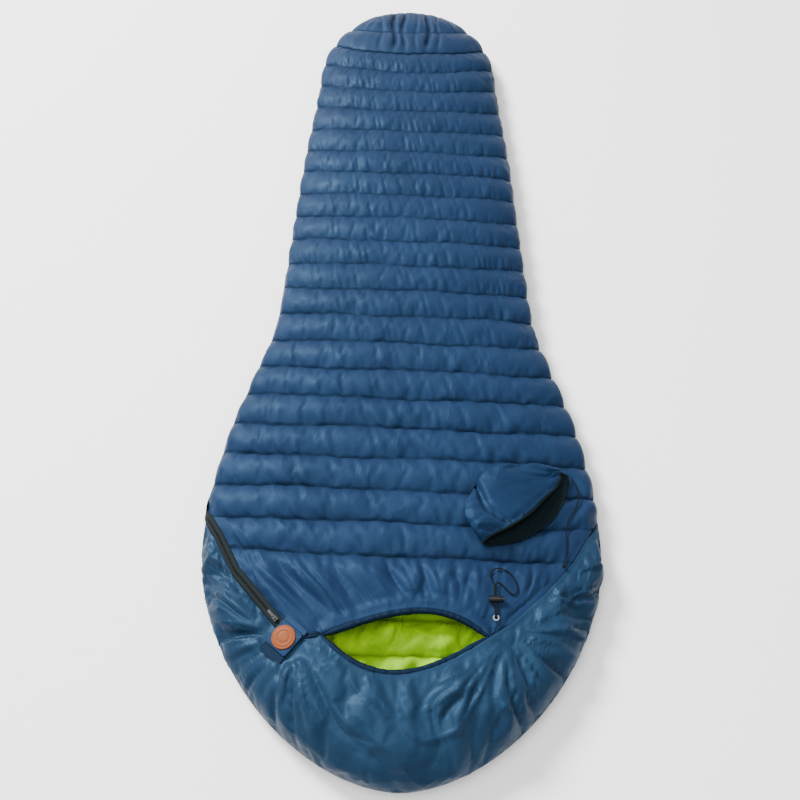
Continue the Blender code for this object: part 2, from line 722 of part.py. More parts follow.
def sack_place(across_mouth, inward, height):
    """A point of the sack: along its mouth, in from its mouth, and above the bag that it lies on."""
    cosine, sine = math.cos(SACK_ANGLE), math.sin(SACK_ANGLE)
    x = SACK_MOUTH[0] + across_mouth * cosine - inward * sine
    y = SACK_MOUTH[1] + across_mouth * sine + inward * cosine
    return Vector((x, y, top_z(x, y) + SACK_LIFT + height))


def sack_ring(t, inset_by, count=14):
    """One ring of the sack, t of the way from its mouth to its closed end."""
    half = SACK_HALF * (1.0 - 0.10 * t) * math.sqrt(max(0.0, 1.0 - t ** 3.5)) - inset_by
    loft = SACK_LOFT * (0.72 + 0.9 * t * (1.0 - t)) * math.sqrt(max(0.0, 1.0 - t ** 4))
    ring = []
    for k in range(count):
        angle = 2 * math.pi * k / count
        rise = loft / 2 + (loft / 2 - inset_by) * math.sin(angle)
        ring.append(sack_place(max(half, 0.0) * math.cos(angle), SACK_DEPTH * t - inset_by * t, rise))
    return ring


def stuff_sack():
    """An open pouch with a hem round its mouth, a cord in the hem and a knot at the cord's end."""
    steps = (0.0, 0.2, 0.4, 0.6, 0.78, 0.90, 0.97)
    outer = [sack_ring(t, 0.0) for t in steps] + [[sack_place(0.0, SACK_DEPTH, 0.006)]]
    inner = [sack_ring(t, 0.0016) for t in steps] + [[sack_place(0.0, SACK_DEPTH - 0.003, 0.006)]]
    cup("stuff_sack", outer, inner, "sack_fabric")
    hem = [sack_place(SACK_HALF * math.cos(a), -0.0042, SACK_LOFT * 0.36 * (1 + math.sin(a)))
           for a in [2 * math.pi * k / 20 for k in range(20)]]
    tube("sack_hem", hem, 0.0024, "sack_fabric", closed=True)


def sack_cord_route():
    """From the upper end of the sack's hem down over the bag."""
    plan = [(0.3445, -0.432), (0.354, -0.448), (0.358, -0.468), (0.352, -0.490), (0.340, -0.510),
            (0.330, -0.530), (0.326, -0.552), (0.325, -0.575), (0.322, -0.598), (0.317, -0.618)]
    rise = [0.0105, 0.0070, 0.0035] + [0.0] * (len(plan) - 3)
    return [Vector((x, y, top_z(x, y) + CORD_RADIUS + 0.0014 + r)) for (x, y), r in zip(plan, rise)]


def sack_cord():
    route = sack_cord_route()
    tube("sack_cord", smooth_route(route, 0.0070), CORD_RADIUS, "cord")
    last, before = route[-1], route[-2]
    ahead = (last - before).normalized()
    knot = [last + ahead * (CORD_RADIUS + 0.0022 * k) for k in (0.0, 0.35, 1.0, 1.9, 2.6, 3.0)]
    radii = (0.0014, 0.0027, 0.0034, 0.0034, 0.0027, 0.0014)
    side = ahead.cross(Vector((0, 0, 1))).normalized()
    lift = side.cross(ahead)
    rings = [[centre + side * (r * c) + lift * (r * s + 0.0016) for c, s in circle(1.0, 12)]
             for centre, r in zip(knot, radii)]
    points = [p for ring in rings for p in ring]
    faces = [tuple(range(12))[::-1], tuple(range(len(points) - 12, len(points)))]
    for r in range(len(rings) - 1):
        faces += [(12 * r + k, 12 * r + (k + 1) % 12, 12 * r + 12 + (k + 1) % 12, 12 * r + 12 + k) for k in range(12)]
    mesh_object("sack_cord_knot", points, faces, "cord")


def clear_scene():
    for made in list(bpy.data.objects):
        bpy.data.objects.remove(made)


def build():
    clear_scene()
    body_layers()
    front_layers()
    face_channels()
    zip_tapes()
    zip_slider()
    zip_pull()
    zip_stops()
    closure_tab()
    cord_eyelet()
    drawcord()
    cord_lock()
    stuff_sack()
    sack_cord()


build()
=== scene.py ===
"""The looks of the mummy sleeping bag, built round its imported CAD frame.

Metres, +Z up, in the CAD's frame: the hood is at -Y, the feet at +Y, X runs across and the floor is at Z = 0.
Each padded panel is a grid on the CAD's skin, sunk along its seams. A short cloth simulation blows up all but
the back between them, with a little more fabric than there is room for, so that it puckers as quilted fabric does.
"""

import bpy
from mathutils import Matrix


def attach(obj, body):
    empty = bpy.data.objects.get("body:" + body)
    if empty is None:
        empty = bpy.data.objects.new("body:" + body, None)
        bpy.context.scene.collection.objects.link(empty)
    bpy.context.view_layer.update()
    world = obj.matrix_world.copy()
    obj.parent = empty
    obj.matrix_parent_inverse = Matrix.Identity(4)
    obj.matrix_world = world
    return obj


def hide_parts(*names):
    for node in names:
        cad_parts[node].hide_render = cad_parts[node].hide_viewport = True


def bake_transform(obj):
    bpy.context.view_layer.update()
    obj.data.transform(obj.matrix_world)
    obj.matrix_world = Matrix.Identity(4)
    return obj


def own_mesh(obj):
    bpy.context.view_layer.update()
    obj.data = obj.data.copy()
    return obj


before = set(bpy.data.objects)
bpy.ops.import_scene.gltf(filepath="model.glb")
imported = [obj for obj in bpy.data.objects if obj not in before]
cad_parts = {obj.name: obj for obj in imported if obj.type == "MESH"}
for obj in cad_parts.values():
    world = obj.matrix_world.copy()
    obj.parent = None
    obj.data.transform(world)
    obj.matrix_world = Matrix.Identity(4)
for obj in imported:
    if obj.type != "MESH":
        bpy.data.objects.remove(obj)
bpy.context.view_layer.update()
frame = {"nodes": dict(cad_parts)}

import math

import bmesh
import bpy
import numpy as np
from mathutils import Matrix, Vector

# ---- the bag's own measures, as in its CAD ----

HALF_LENGTH = 1.035
SHOULDER_HALF = 0.400
SHOULDER_Y = -0.561
FOOT_HALF = 0.2295
FOOT_Y = 0.765
SIDE_STATIONS = ((SHOULDER_Y, SHOULDER_HALF), (-0.330, 0.371), (-0.184, 0.3305), (-0.050, 0.292),
                 (0.092, 0.279), (0.472, 0.2555), (FOOT_Y, FOOT_HALF))
SEAM_Z = 0.039
CREST_LOFT = 0.061
HOOD_LOFT = 0.018
HOOD_CREST_Y = -0.890
BAFFLE = 0.0703
FIRST_SEAM_Y = -0.607
FOOTBOX_SEAM = 20
NECK_Y = -0.600
# the photo's opening is smaller and less even than the CAD's, which has 0.015 and 0.165 here
MOUTH_X = 0.008
MOUTH_HALF = 0.158
UPPER_LIP_Y = -0.719
LOWER_LIP_Y = -0.846
CORNER_Y = -0.771
ZIP_TOP = (-0.203, -0.778)
ZIP_BEND = (-0.323, -0.640)
ZIP_SHOULDER = (-0.363, -0.567)
SIDE_CORNER_Y = -0.511
RIGHT_SEAM = ((0.210, -0.741), (0.276, -0.680), (0.334, -0.615))
ZIP_END_Y = 0.105
ZIP_LIFT = 0.0017
TAB_CENTRE = (-0.215, -0.779)
TAB_ANGLE = math.radians(-40.0)
CORD_RADIUS = 0.00125
STRAND_X = 0.0015
EYELET = (0.178, -0.735)
LOCK_Y = -0.700
LOCK_LIFT = 0.0067
SPRING_WIRE = 0.0003
SACK_MOUTH = (0.247, -0.508)
SACK_ANGLE = math.radians(42.9)
SACK_HALF = 0.122
SACK_DEPTH = 0.130
SACK_LOFT = 0.046
SACK_LIFT = 0.0025

# ---- how the fabric is laid out ----

SEWN_FIRST = FIRST_SEAM_Y - 0.0035
SEWN_PITCH = BAFFLE + 0.0012
SEWN_FOOTBOX_Y = SEWN_FIRST + SEWN_PITCH * FOOTBOX_SEAM
ROW_PHASES = np.array([0.0, 0.030, 0.085, 0.165, 0.26, 0.37, 0.48, 0.59, 0.70, 0.80, 0.885, 0.955])
ROWS_PER_BAFFLE = len(ROW_PHASES)
FRONT_COLUMNS = 150
BAND_ROWS = 26
SEAM_DEPTH = 0.0150
EDGE_DEPTH = 0.0030
PUFF = 0.0105
MARGIN = 0.0115
LINING_SEAM_Y = -0.7915 + BAFFLE * 2
# for each: its place across the bag, its half width, and its depth as a share of the deepest
FOOT_GATHERS = ((-0.040, 0.007, 1.0), (-0.014, 0.006, 0.8), (0.052, 0.007, 1.0), (0.078, 0.005, 0.5),
                (-0.075, 0.006, 0.4), (0.020, 0.005, 0.35))
# for each: x, y, the side that its creases run to, and the first seed of their noise
CREASE_SOURCES = ((0.196, -0.760, 1.0, 31), (-0.200, -0.776, -1.0, 35))
# the drawcord's loop in plan, from the eyelet's x, and the sack cord in plan
LOOP_PLAN = ((-0.004, -0.662), (-0.008, -0.650), (-0.002, -0.639), (0.011, -0.636), (0.026, -0.641),
             (0.037, -0.653), (0.043, -0.668), (0.043, -0.681), (0.036, -0.688), (0.027, -0.683),
             (0.018, -0.673), (0.009, -0.665))
SACK_CORD_PLAN = ((0.3445, -0.432), (0.354, -0.448), (0.358, -0.468), (0.352, -0.490), (0.340, -0.510),
                  (0.330, -0.530), (0.326, -0.552), (0.325, -0.575), (0.322, -0.598), (0.317, -0.618))
ACROSS_FOLD = "bag to flap"
FLOOR_GAP = 0.0002
FAR = 9.0


# ---- the CAD's skin, for numbers or for numpy arrays ----

def side_curve(y):
    ys = np.array([s[0] for s in SIDE_STATIONS])
    ws = np.array([s[1] for s in SIDE_STATIONS])
    slopes = np.concatenate(([0.0], (ws[2:] - ws[:-2]) / (ys[2:] - ys[:-2]), [-0.05]))
    i = np.clip(np.searchsorted(ys, y, side="right") - 1, 0, len(ys) - 2)
    step = ys[i + 1] - ys[i]
    t = np.clip((y - ys[i]) / step, 0.0, 1.0)
    blend = t * t * (3.0 - 2.0 * t)
    return ws[i] + (ws[i + 1] - ws[i]) * blend + step * t * (1.0 - t) * (slopes[i] * (1.0 - t) - slopes[i + 1] * t)


def half_width(y):
    y = np.asarray(y, float)
    hood = np.clip((SHOULDER_Y - y) / (HALF_LENGTH + SHOULDER_Y), 0.0, 1.0)
    foot = np.clip((y - FOOT_Y) / (HALF_LENGTH - FOOT_Y), 0.0, 1.0)
    return np.where(y <= SHOULDER_Y, SHOULDER_HALF * (1.0 - hood ** 1.8) ** 0.56,
                    np.where(y >= FOOT_Y, FOOT_HALF * np.sqrt(1.0 - foot * foot), side_curve(y)))


def end_fade(y, power):
    reach = np.clip(np.maximum((-0.720 - y) / (HALF_LENGTH - 0.720), (y - 0.800) / (HALF_LENGTH - 0.800)), 0.0, 1.0)
    return np.sqrt(1.0 - reach ** power)


def across(x, y):
    return np.clip(np.abs(x) / np.maximum(half_width(y), 1e-6), 0.0, 1.0)


def top_z(x, y, depth=0.0):
    loft = CREST_LOFT + HOOD_LOFT * np.exp(-(((y - HOOD_CREST_Y) / 0.160) ** 2))
    dome = (1.0 - across(x, y) ** 2.4) ** 0.55
    return SEAM_Z + (loft - depth) * dome * end_fade(y, 2.5)


def bottom_z(x, y, depth=0.0):
    flat = np.minimum(1.0, 1.25 * np.sqrt(1.0 - across(x, y) ** 4) * end_fade(y, 4.0))
    return SEAM_Z - (SEAM_Z - depth) * flat


def lip_y(x, middle):
    """A lip of the face opening. The upper one is highest to the right, the lower one lowest to the left."""
    share = (x - MOUTH_X) / MOUTH_HALF
    lean = -0.22 if middle > CORNER_Y else 0.13
    return middle + (CORNER_Y - middle) * (share + lean * (1.0 - share ** 2)) ** 2


def polyline(points, value, key=0):
    """The other coordinate of a polyline where one coordinate has a value."""
    known = np.array([p[key] for p in points])
    other = np.array([p[1 - key] for p in points])
    order = np.argsort(known)
    return np.interp(value, known[order], other[order])


LEFT_CORNER = (MOUTH_X - MOUTH_HALF, CORNER_Y)
RIGHT_CORNER = (MOUTH_X + MOUTH_HALF, CORNER_Y)
LEFT_LINE = (ZIP_TOP, ZIP_BEND, ZIP_SHOULDER, (-float(half_width(SIDE_CORNER_Y)), SIDE_CORNER_Y))
RIGHT_LINE = RIGHT_SEAM + ((float(half_width(SIDE_CORNER_Y)), SIDE_CORNER_Y),)


# ---- numpy helpers ----

def ease(t):
    t = np.clip(t, 0.0, 1.0)
    return t * t * (3.0 - 2.0 * t)


def noise(rows, columns, seed):
    """Smooth noise from -1 to 1. rows and columns are places measured in cells."""
    rows, columns = np.asarray(rows, float), np.asarray(columns, float)
    rows, columns = rows - rows.min(), columns - columns.min()
    table = np.random.default_rng(seed).uniform(-1.0, 1.0, (int(rows.max()) + 2, int(columns.max()) + 2))
    r, c = rows.astype(int), columns.astype(int)
    a, b = ease(rows - r), ease(columns - c)
    return ((table[r, c] * (1 - b) + table[r, c + 1] * b) * (1 - a)
            + (table[r + 1, c] * (1 - b) + table[r + 1, c + 1] * b) * a)


def folds(rows, columns, seed):
    """Noise with sharp valleys and rounded backs, from 0 to 1, as creased fabric has."""
    return np.abs(noise(rows, columns, seed)) ** 0.7


def normals(points):
    """Unit normals of a grid of points."""
    n = np.cross(np.gradient(points, axis=1), np.gradient(points, axis=0))
    return n / np.maximum(np.linalg.norm(n, axis=-1, keepdims=True), 1e-12)


def distances(points):
    """How far along a polyline each of its points lies."""
    return np.concatenate(([0.0], np.cumsum(np.linalg.norm(np.diff(points, axis=0), axis=1))))


def at_distance(wanted, walked, points):
    """Where the given distances along a polyline are."""
    return np.stack([np.interp(wanted, walked, points[:, k]) for k in range(points.shape[1])], -1)


def spaced(points, count):
    """count points evenly spaced along a polyline."""
    points = np.asarray(points, float)
    walked = distances(points)
    return at_distance(np.linspace(0.0, walked[-1], count), walked, points)


def cells(grid):
    """Row and column numbers of a grid."""
    return np.meshgrid(np.arange(len(grid)), np.arange(grid.shape[1]), indexing="ij")


def hemmed(pinned):
    """A mask of sewn points with the grid's border added."""
    pinned[0] = pinned[-1] = pinned[:, 0] = pinned[:, -1] = True
    return pinned


def grid_faces(rows, columns, cyclic=False, base=0):
    index = base + np.arange(rows * columns).reshape(rows, columns)
    after = np.roll(index, -1, axis=1) if cyclic else index[:, 1:]
    here = index if cyclic else index[:, :-1]
    return np.stack([here[:-1], after[:-1], after[1:], here[1:]], -1).reshape(-1, 4)


# ---- Blender helpers ----

def new_object(name, data):
    made = bpy.data.objects.new(name, data)
    bpy.context.scene.collection.objects.link(made)
    return made


def mesh_from(name, points, faces):
    mesh = bpy.data.meshes.new(name)
    mesh.from_pydata(np.asarray(points).reshape(-1, 3).tolist(), [], [list(map(int, f)) for f in faces])
    return mesh


def finished(made, materials, slots=None):
    """Welds, turns the faces outward, shades smooth and gives each face its material."""
    for item in materials:
        made.data.materials.append(item)
    if slots is not None:
        made.data.polygons.foreach_set("material_index", np.asarray(slots, np.int32))
    work = bmesh.new()
    work.from_mesh(made.data)
    bmesh.ops.remove_doubles(work, verts=work.verts[:], dist=1e-5)
    bmesh.ops.recalc_face_normals(work, faces=work.faces[:])
    if work.calc_volume(signed=True) < 0:
        bmesh.ops.reverse_faces(work, faces=work.faces[:])
    work.to_mesh(made.data)
    work.free()
    made.data.shade_smooth()
    return made


def simulate(points, pinned, extra, pressure=60.0, frames=20, cap=0.02, cyclic=False, bending=6.0):
    """Blows up a grid of cloth that is sewn down where pinned, and returns where its points end up."""
    rows, columns, _ = points.shape
    cloth = new_object("cloth", mesh_from("cloth", points, grid_faces(rows, columns, cyclic)))
    group = cloth.vertex_groups.new(name="sewn")
    group.add([int(i) for i in np.flatnonzero(pinned)], 1.0, "REPLACE")
    change = cloth.modifiers.new("cloth", "CLOTH")
    fabric = change.settings
    fabric.vertex_group_mass = "sewn"
    fabric.quality = 5
    fabric.mass = 0.3
    fabric.tension_stiffness = fabric.compression_stiffness = 15
    fabric.shear_stiffness = 7.5
    fabric.bending_stiffness = bending
    fabric.shrink_min = -extra
    fabric.use_pressure = True
    fabric.uniform_pressure_force = pressure
    fabric.effector_weights.gravity = 0
    change.collision_settings.use_collision = False
    change.point_cache.frame_start, change.point_cache.frame_end = 1, frames
    for step in range(1, frames + 1):
        bpy.context.scene.frame_set(step)
    result = cloth.evaluated_get(bpy.context.evaluated_depsgraph_get()).data
    found = np.zeros(rows * columns * 3)
    result.vertices.foreach_get("co", found)
    mesh = cloth.data
    bpy.data.objects.remove(cloth)
    bpy.data.meshes.remove(mesh)
    bpy.context.scene.frame_set(1)
    moved = found.reshape(points.shape) - points
    length = np.linalg.norm(moved, axis=-1, keepdims=True)
    return points + moved * np.minimum(1.0, cap / np.maximum(length, 1e-9))


def closed_panel(name, outer, inner, materials, painted_shade=None):
    """A closed panel between two grids of the same size: the outer face in the first material, the inner in the second.

    painted_shade says, from 0 to 1, how much painted shade darkens each outer point, in the seams and creases where
    shade falls.
    """
    rows, columns, _ = outer.shape
    other = rows * columns
    ring = np.arange(other).reshape(rows, columns)
    rim = np.concatenate([ring[0, :-1], ring[:-1, -1], ring[-1, :0:-1], ring[:0:-1, 0]])
    after = np.roll(rim, -1)
    walls = np.stack([rim, other + rim, other + after, after], -1)
    first = grid_faces(rows, columns)
    second = grid_faces(rows, columns, base=other)[:, ::-1]
    points = np.concatenate([outer.reshape(-1, 3), inner.reshape(-1, 3)])
    made = new_object(name, mesh_from(name, points, np.concatenate([first, second, walls])))
    if painted_shade is not None:
        layer = made.data.attributes.new("painted_shade", "FLOAT", "POINT")
        layer.data.foreach_set("value", np.concatenate([painted_shade.ravel(), np.zeros(other)]).astype(np.float32))
    slots = [0] * len(first) + [1] * len(second) + [0] * len(walls)
    return finished(made, materials, slots)


# ---- materials ----

THREAD_PITCH = 0.0006
THREAD_HEIGHT = 0.00006
GROOVE_SHADE = 0.27
GLOSS_SPREAD = 0.08


def shader_of(name, colour, roughness, **sockets):
    """A new material with a Principled shader whose uniform values are set on its own sockets."""
    made = bpy.data.materials.new(name)
    made.use_nodes = True
    made.diffuse_color = (*colour, 1.0)
    shader = made.node_tree.nodes["Principled BSDF"]
    shader.inputs["Base Color"].default_value = (*colour, 1.0)
    shader.inputs["Roughness"].default_value = roughness
    for socket, value in sockets.items():
        shader.inputs[socket.replace("_", " ")].default_value = value
    return made, made.node_tree, shader


def add_node(tree, kind, feeds=(), **values):
    """A node with its values set, and fed by pairs of its own input and another node's output."""
    node = tree.nodes.new(kind)
    for key, value in values.items():
        if hasattr(node, key):
            setattr(node, key, value)
        else:
            node.inputs[key.replace("_", " ")].default_value = value
    for socket, source in feeds:
        tree.links.new(source, node.inputs[socket])
    return node


def ramp(tree, source, low, high, at=(0.35, 0.65)):
    """A two-colour ramp fed by a value."""
    node = add_node(tree, "ShaderNodeValToRGB", [("Fac", source)])
    for element, place, colour in zip(node.color_ramp.elements, at, (low, high)):
        element.position, element.color = place, (*colour, 1.0)
    return node.outputs["Color"]


def bumped(tree, height, strength, distance, under=()):
    """The normal of a surface raised by a height, on top of another bump's normal where under gives one."""
    return add_node(tree, "ShaderNodeBump", [("Height", height), *under], Strength=strength,
                    Distance=distance).outputs["Normal"]


def halfway(low, high):
    return tuple((a + b) / 2 for a, b in zip(low, high))


def weave_height(tree, vector, ripstop):
    """Height of a woven cloth: fine threads both ways, and where ripstop is set, a stronger thread every few."""
    waves = [add_node(tree, "ShaderNodeTexWave", [("Vector", vector)], bands_direction=axis, wave_type="BANDS",
                      Scale=0.314 / THREAD_PITCH, Distortion=0.0).outputs["Fac"] for axis in ("X", "Y")]
    both = add_node(tree, "ShaderNodeMath", enumerate(waves), operation="MULTIPLY").outputs["Value"]
    if not ripstop:
        return both
    brick = add_node(tree, "ShaderNodeTexBrick", [("Vector", vector)], offset=0.0, Scale=1.0,
                     Mortar_Size=ripstop * 0.07, Brick_Width=ripstop, Row_Height=ripstop).outputs["Fac"]
    return add_node(tree, "ShaderNodeMath", enumerate((both, brick)), operation="ADD").outputs["Value"]


def fabric(name, low, high, roughness, ripstop=0.005, crease=0.0016, stretch=(1.5, 0.8, 1.1), **sockets):
    """Woven nylon: thread bump, faint cloudy variation of colour and gloss, sharp creases that catch light, and painted
    shade in seams and creases.
    """
    made, tree, shader = shader_of(name, halfway(low, high), roughness,
                                   **{"Specular_IOR_Level": 0.18, "Specular_Tint": (0.25, 0.55, 0.90, 1.0), **sockets})
    place = tree.nodes.new("ShaderNodeTexCoord").outputs["Object"]
    # each point's share of painted shade, from 0 in the open to 1 deep in a seam or crease; it also dulls the gloss
    painted_shade = add_node(tree, "ShaderNodeAttribute", attribute_name="painted_shade").outputs["Fac"]

    def grain(vector=place, **values):
        return add_node(tree, "ShaderNodeTexNoise", [("Vector", vector)], **values).outputs["Fac"]

    cloud = grain(Scale=7.0, Detail=6.0, Roughness=0.62)
    # painted shade: where the share is 1, the colour falls to GROOVE_SHADE times the darkest colour
    shaded_colour = add_node(tree, "ShaderNodeMix", [(0, painted_shade), (6, ramp(tree, cloud, low, high))], data_type="RGBA")
    shaded_colour.inputs[7].default_value = (*(GROOVE_SHADE * c for c in low), 1.0)
    tree.links.new(shaded_colour.outputs[2], shader.inputs["Base Color"])
    spread = add_node(tree, "ShaderNodeMapRange", [("Value", grain(Scale=38.0, Detail=5.0))], From_Min=0.3,
                      From_Max=0.7, To_Min=roughness - GLOSS_SPREAD, To_Max=roughness + GLOSS_SPREAD)
    dulled = add_node(tree, "ShaderNodeMath", [(0, painted_shade), (2, spread.outputs["Result"])],
                      operation="MULTIPLY_ADD", use_clamp=True)
    dulled.inputs[1].default_value = 0.5
    tree.links.new(dulled.outputs["Value"], shader.inputs["Roughness"])
    threads = bumped(tree, weave_height(tree, place, ripstop), 0.5, THREAD_HEIGHT)
    drawn = add_node(tree, "ShaderNodeMapping", [("Vector", place)], Scale=stretch)
    creases = grain(drawn.outputs["Vector"], noise_type="RIDGED_MULTIFRACTAL", Scale=12.0, Detail=3.0,
                    Roughness=0.5, Distortion=0.35, Offset=0.9, Gain=1.6)
    share = add_node(tree, "ShaderNodeMapRange", [("Value", grain(Scale=9.0, Detail=1.0))], From_Min=0.44,
                     From_Max=0.60, To_Min=0.12, To_Max=1.0)
    raised = add_node(tree, "ShaderNodeMath", [(0, creases), (1, share.outputs["Result"])], operation="MULTIPLY")
    tree.links.new(bumped(tree, raised.outputs["Value"], 0.75, crease, [("Normal", threads)]), shader.inputs["Normal"])
    return made


def tape_fabric(name, low, high):
    """Herringbone tape: coarse slanted threads."""
    made, tree, shader = shader_of(name, halfway(low, high), 0.78, Specular_IOR_Level=0.12)
    place = tree.nodes.new("ShaderNodeTexCoord").outputs["Object"]
    wave = add_node(tree, "ShaderNodeTexWave", [("Vector", place)], bands_direction="DIAGONAL", Scale=260.0,
                    Distortion=1.5, Detail=2.0).outputs["Fac"]
    tree.links.new(ramp(tree, wave, low, high, (0.2, 0.8)), shader.inputs["Base Color"])
    tree.links.new(bumped(tree, wave, 0.5, 0.0003), shader.inputs["Normal"])
    return made


def speckled(name, colour, roughness, scale, distance, spread=0.25, **sockets):
    """A solid material with fine noise in its colour and its surface, such as plastic, leather, felt or metal."""
    made, tree, shader = shader_of(name, colour, roughness, **sockets)
    place = tree.nodes.new("ShaderNodeTexCoord").outputs["Object"]
    grain = add_node(tree, "ShaderNodeTexNoise", [("Vector", place)], Scale=scale, Detail=6.0,
                     Roughness=0.6).outputs["Fac"]
    low = tuple(c * (1 - spread) for c in colour)
    high = tuple(min(1.0, c * (1 + spread)) for c in colour)
    tree.links.new(ramp(tree, grain, low, high), shader.inputs["Base Color"])
    tree.links.new(bumped(tree, grain, 0.6, distance), shader.inputs["Normal"])
    return made


SHELL = fabric("shell", (0.0050, 0.0134, 0.0375), (0.0070, 0.0180, 0.0475), 0.54)
HOOD = fabric("hood_shell_cloth", (0.0056, 0.0160, 0.0345), (0.0080, 0.0222, 0.0465), 0.43,
              crease=0.0034, stretch=(1.1, 1.0, 1.0))
LINING = fabric("lining", (0.130, 0.300, 0.002), (0.290, 0.510, 0.006), 0.50, ripstop=0.0,
                crease=0.0050, Specular_Tint=(0.5, 0.8, 0.1, 1.0))
BINDING = fabric("binding", (0.0012, 0.0034, 0.0105), (0.0022, 0.0052, 0.0145), 0.60, ripstop=0.0)
SACK = fabric("sack", (0.0038, 0.0122, 0.0350), (0.0053, 0.0162, 0.0440), 0.54)
# near-black: painted shade on the sack's inner cloth; its hem and the first row of outer cloth at the mouth take the
# same colour
SACK_HEM_AND_INSIDE_SHADE = fabric("sack_hem_and_inside_shade", (0.0018, 0.0034, 0.0034), (0.0034, 0.0058, 0.0060), 0.66,
                     Specular_IOR_Level=0.1)
TAPE = tape_fabric("zip_tape_weave", (0.0028, 0.0056, 0.0060), (0.0060, 0.0105, 0.0115))
COIL = speckled("zip_coil", (0.0030, 0.0040, 0.0034), 0.50, 900.0, 0.00005, Specular_IOR_Level=0.25)
BLACK = speckled("moulded_black", (0.0022, 0.0022, 0.0025), 0.42, 1400.0, 0.00004, Specular_IOR_Level=0.3)
METAL = speckled("slider_lacquer", (0.012, 0.012, 0.013), 0.30, 600.0, 0.00002, Metallic=0.7)
STEEL = speckled("steel", (0.62, 0.63, 0.65), 0.24, 500.0, 0.00001, 0.05, Metallic=1.0)
LEATHER = speckled("leather", (0.155, 0.034, 0.0025), 0.55, 420.0, 0.00018, 0.18, Specular_IOR_Level=0.2)
FELT = speckled("hook_and_loop", (0.0040, 0.0120, 0.0280), 0.90, 1300.0, 0.0006, 0.5, Specular_IOR_Level=0.1)
CORD = tape_fabric("cord_braid", (0.0014, 0.0017, 0.0020), (0.0036, 0.0042, 0.0050))
THREAD = speckled("thread", (0.0035, 0.0090, 0.0180), 0.70, 1500.0, 0.0001, Specular_IOR_Level=0.15)


# ---- camera, light and floor ----

LENS, SENSOR = 45.0, 36.0
CAMERA_PLACE = (-0.008, -1.345, 1.914)
CAMERA_TARGET = (-0.008, -0.204, 0.0)
CAMERA_ROLL = math.radians(0.9)
LIGHT_SIZE = 2.4
KEY_POWER, FILL_POWER, SKY_STRENGTH = 1600.0, 110.0, 0.95


def look_at(made, target):
    made.rotation_euler = (Vector(target) - made.location).to_track_quat("-Z", "Y").to_euler()


def camera():
    made = new_object("camera", bpy.data.cameras.new("camera"))
    made.data.lens, made.data.sensor_width = LENS, SENSOR
    made.location = CAMERA_PLACE
    look_at(made, CAMERA_TARGET)
    made.rotation_euler.rotate_axis("Z", CAMERA_ROLL)
    bpy.context.scene.camera = made


def area_light(name, place, target, power):
    made = new_object(name, bpy.data.lights.new(name, "AREA"))
    made.data.shape = "DISK"
    made.data.size = LIGHT_SIZE
    made.data.energy = power
    made.location = place
    look_at(made, target)


def studio():
    camera()
    area_light("key", (-3.9, 3.6, 4.8), (0.0, -0.1, 0.0), KEY_POWER)
    area_light("fill", (-0.6, -1.2, 3.4), (0.0, -0.2, 0.0), FILL_POWER)
    world = bpy.data.worlds.new("studio")
    world.use_nodes = True
    sky = world.node_tree.nodes["Background"].inputs
    sky["Color"].default_value = (1.0, 1.0, 1.0, 1.0)
    sky["Strength"].default_value = SKY_STRENGTH
    bpy.context.scene.world = world
    floor = new_object("floor", mesh_from("floor", [(-9, -9, 0), (9, -9, 0), (9, 9, 0), (-9, 9, 0)], [(0, 1, 2, 3)]))
    floor.data.materials.append(shader_of("floor", (0.92, 0.92, 0.92), 0.9)[0])


# ---- what a piece belongs to ----

def belongs(made, body, slot, *nodes):
    """The piece moves with a body, or with ACROSS_FOLD has its transform baked in. It hides the CAD nodes that it
    stands for. slot is not used.
    """
    if body == ACROSS_FOLD:
        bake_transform(made)
    else:
        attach(made, body)
    if nodes:
        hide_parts(*nodes)
    return made


# ---- cords ----

def smooth_route(route, count):
    """Points evenly spaced along a smooth curve through a route's own points."""
    ends = [route[0] * 2 - route[1]] + route + [route[-1] * 2 - route[-2]]
    fine = []
    for a, b, c, d in zip(ends, ends[1:], ends[2:], ends[3:]):
        for step in range(24):
            t = step / 24
            fine.append(0.5 * (2 * b + (c - a) * t + (2 * a - 5 * b + 4 * c - d) * t * t
                               + (3 * b - a - 3 * c + d) * t ** 3))
    fine.append(route[-1])
    return spaced([tuple(p) for p in fine], count)


def cord_curve(name, points, radius, material):
    curve = bpy.data.curves.new(name, "CURVE")
    curve.dimensions = "3D"
    curve.bevel_depth = radius
    curve.bevel_resolution = 3
    curve.use_fill_caps = True
    spline = curve.splines.new("POLY")
    spline.points.add(len(points) - 1)
    for place, point in zip(spline.points, points):
        place.co = (*map(float, point), 1.0)
    curve.materials.append(material)
    return new_object(name, curve)


def skin(x, y, lift=0.0):
    return Vector((x, y, float(top_z(x, y)) + lift))


def lock_spring():
    """The spring behind the plunger, built at one length, though the real one grows shorter as the plunger is pressed.
    """
    turn = np.linspace(0.0, math.tau * 3.5, 57)[:, None]
    end = np.array([EYELET[0] - 0.0101, LOCK_Y, float(top_z(EYELET[0] - 0.0125, LOCK_Y)) + LOCK_LIFT])
    along = np.array([1.0, 0.0, 0.0])
    spoke = np.concatenate([0.0 * turn, np.cos(turn), np.sin(turn)], axis=1)
    centres = end + along * 0.0044 * turn / turn[-1] + 0.0030 * spoke
    around = math.tau * np.arange(8)[None, :, None] / 8
    rings = centres[:, None] + SPRING_WIRE * (spoke[:, None] * np.cos(around) + along * np.sin(around))
    made = belongs(ring_mesh("lock_spring_coil", rings, STEEL), "cord_lock", "steel", "cord_lock_spring")
    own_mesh(made)
    return made


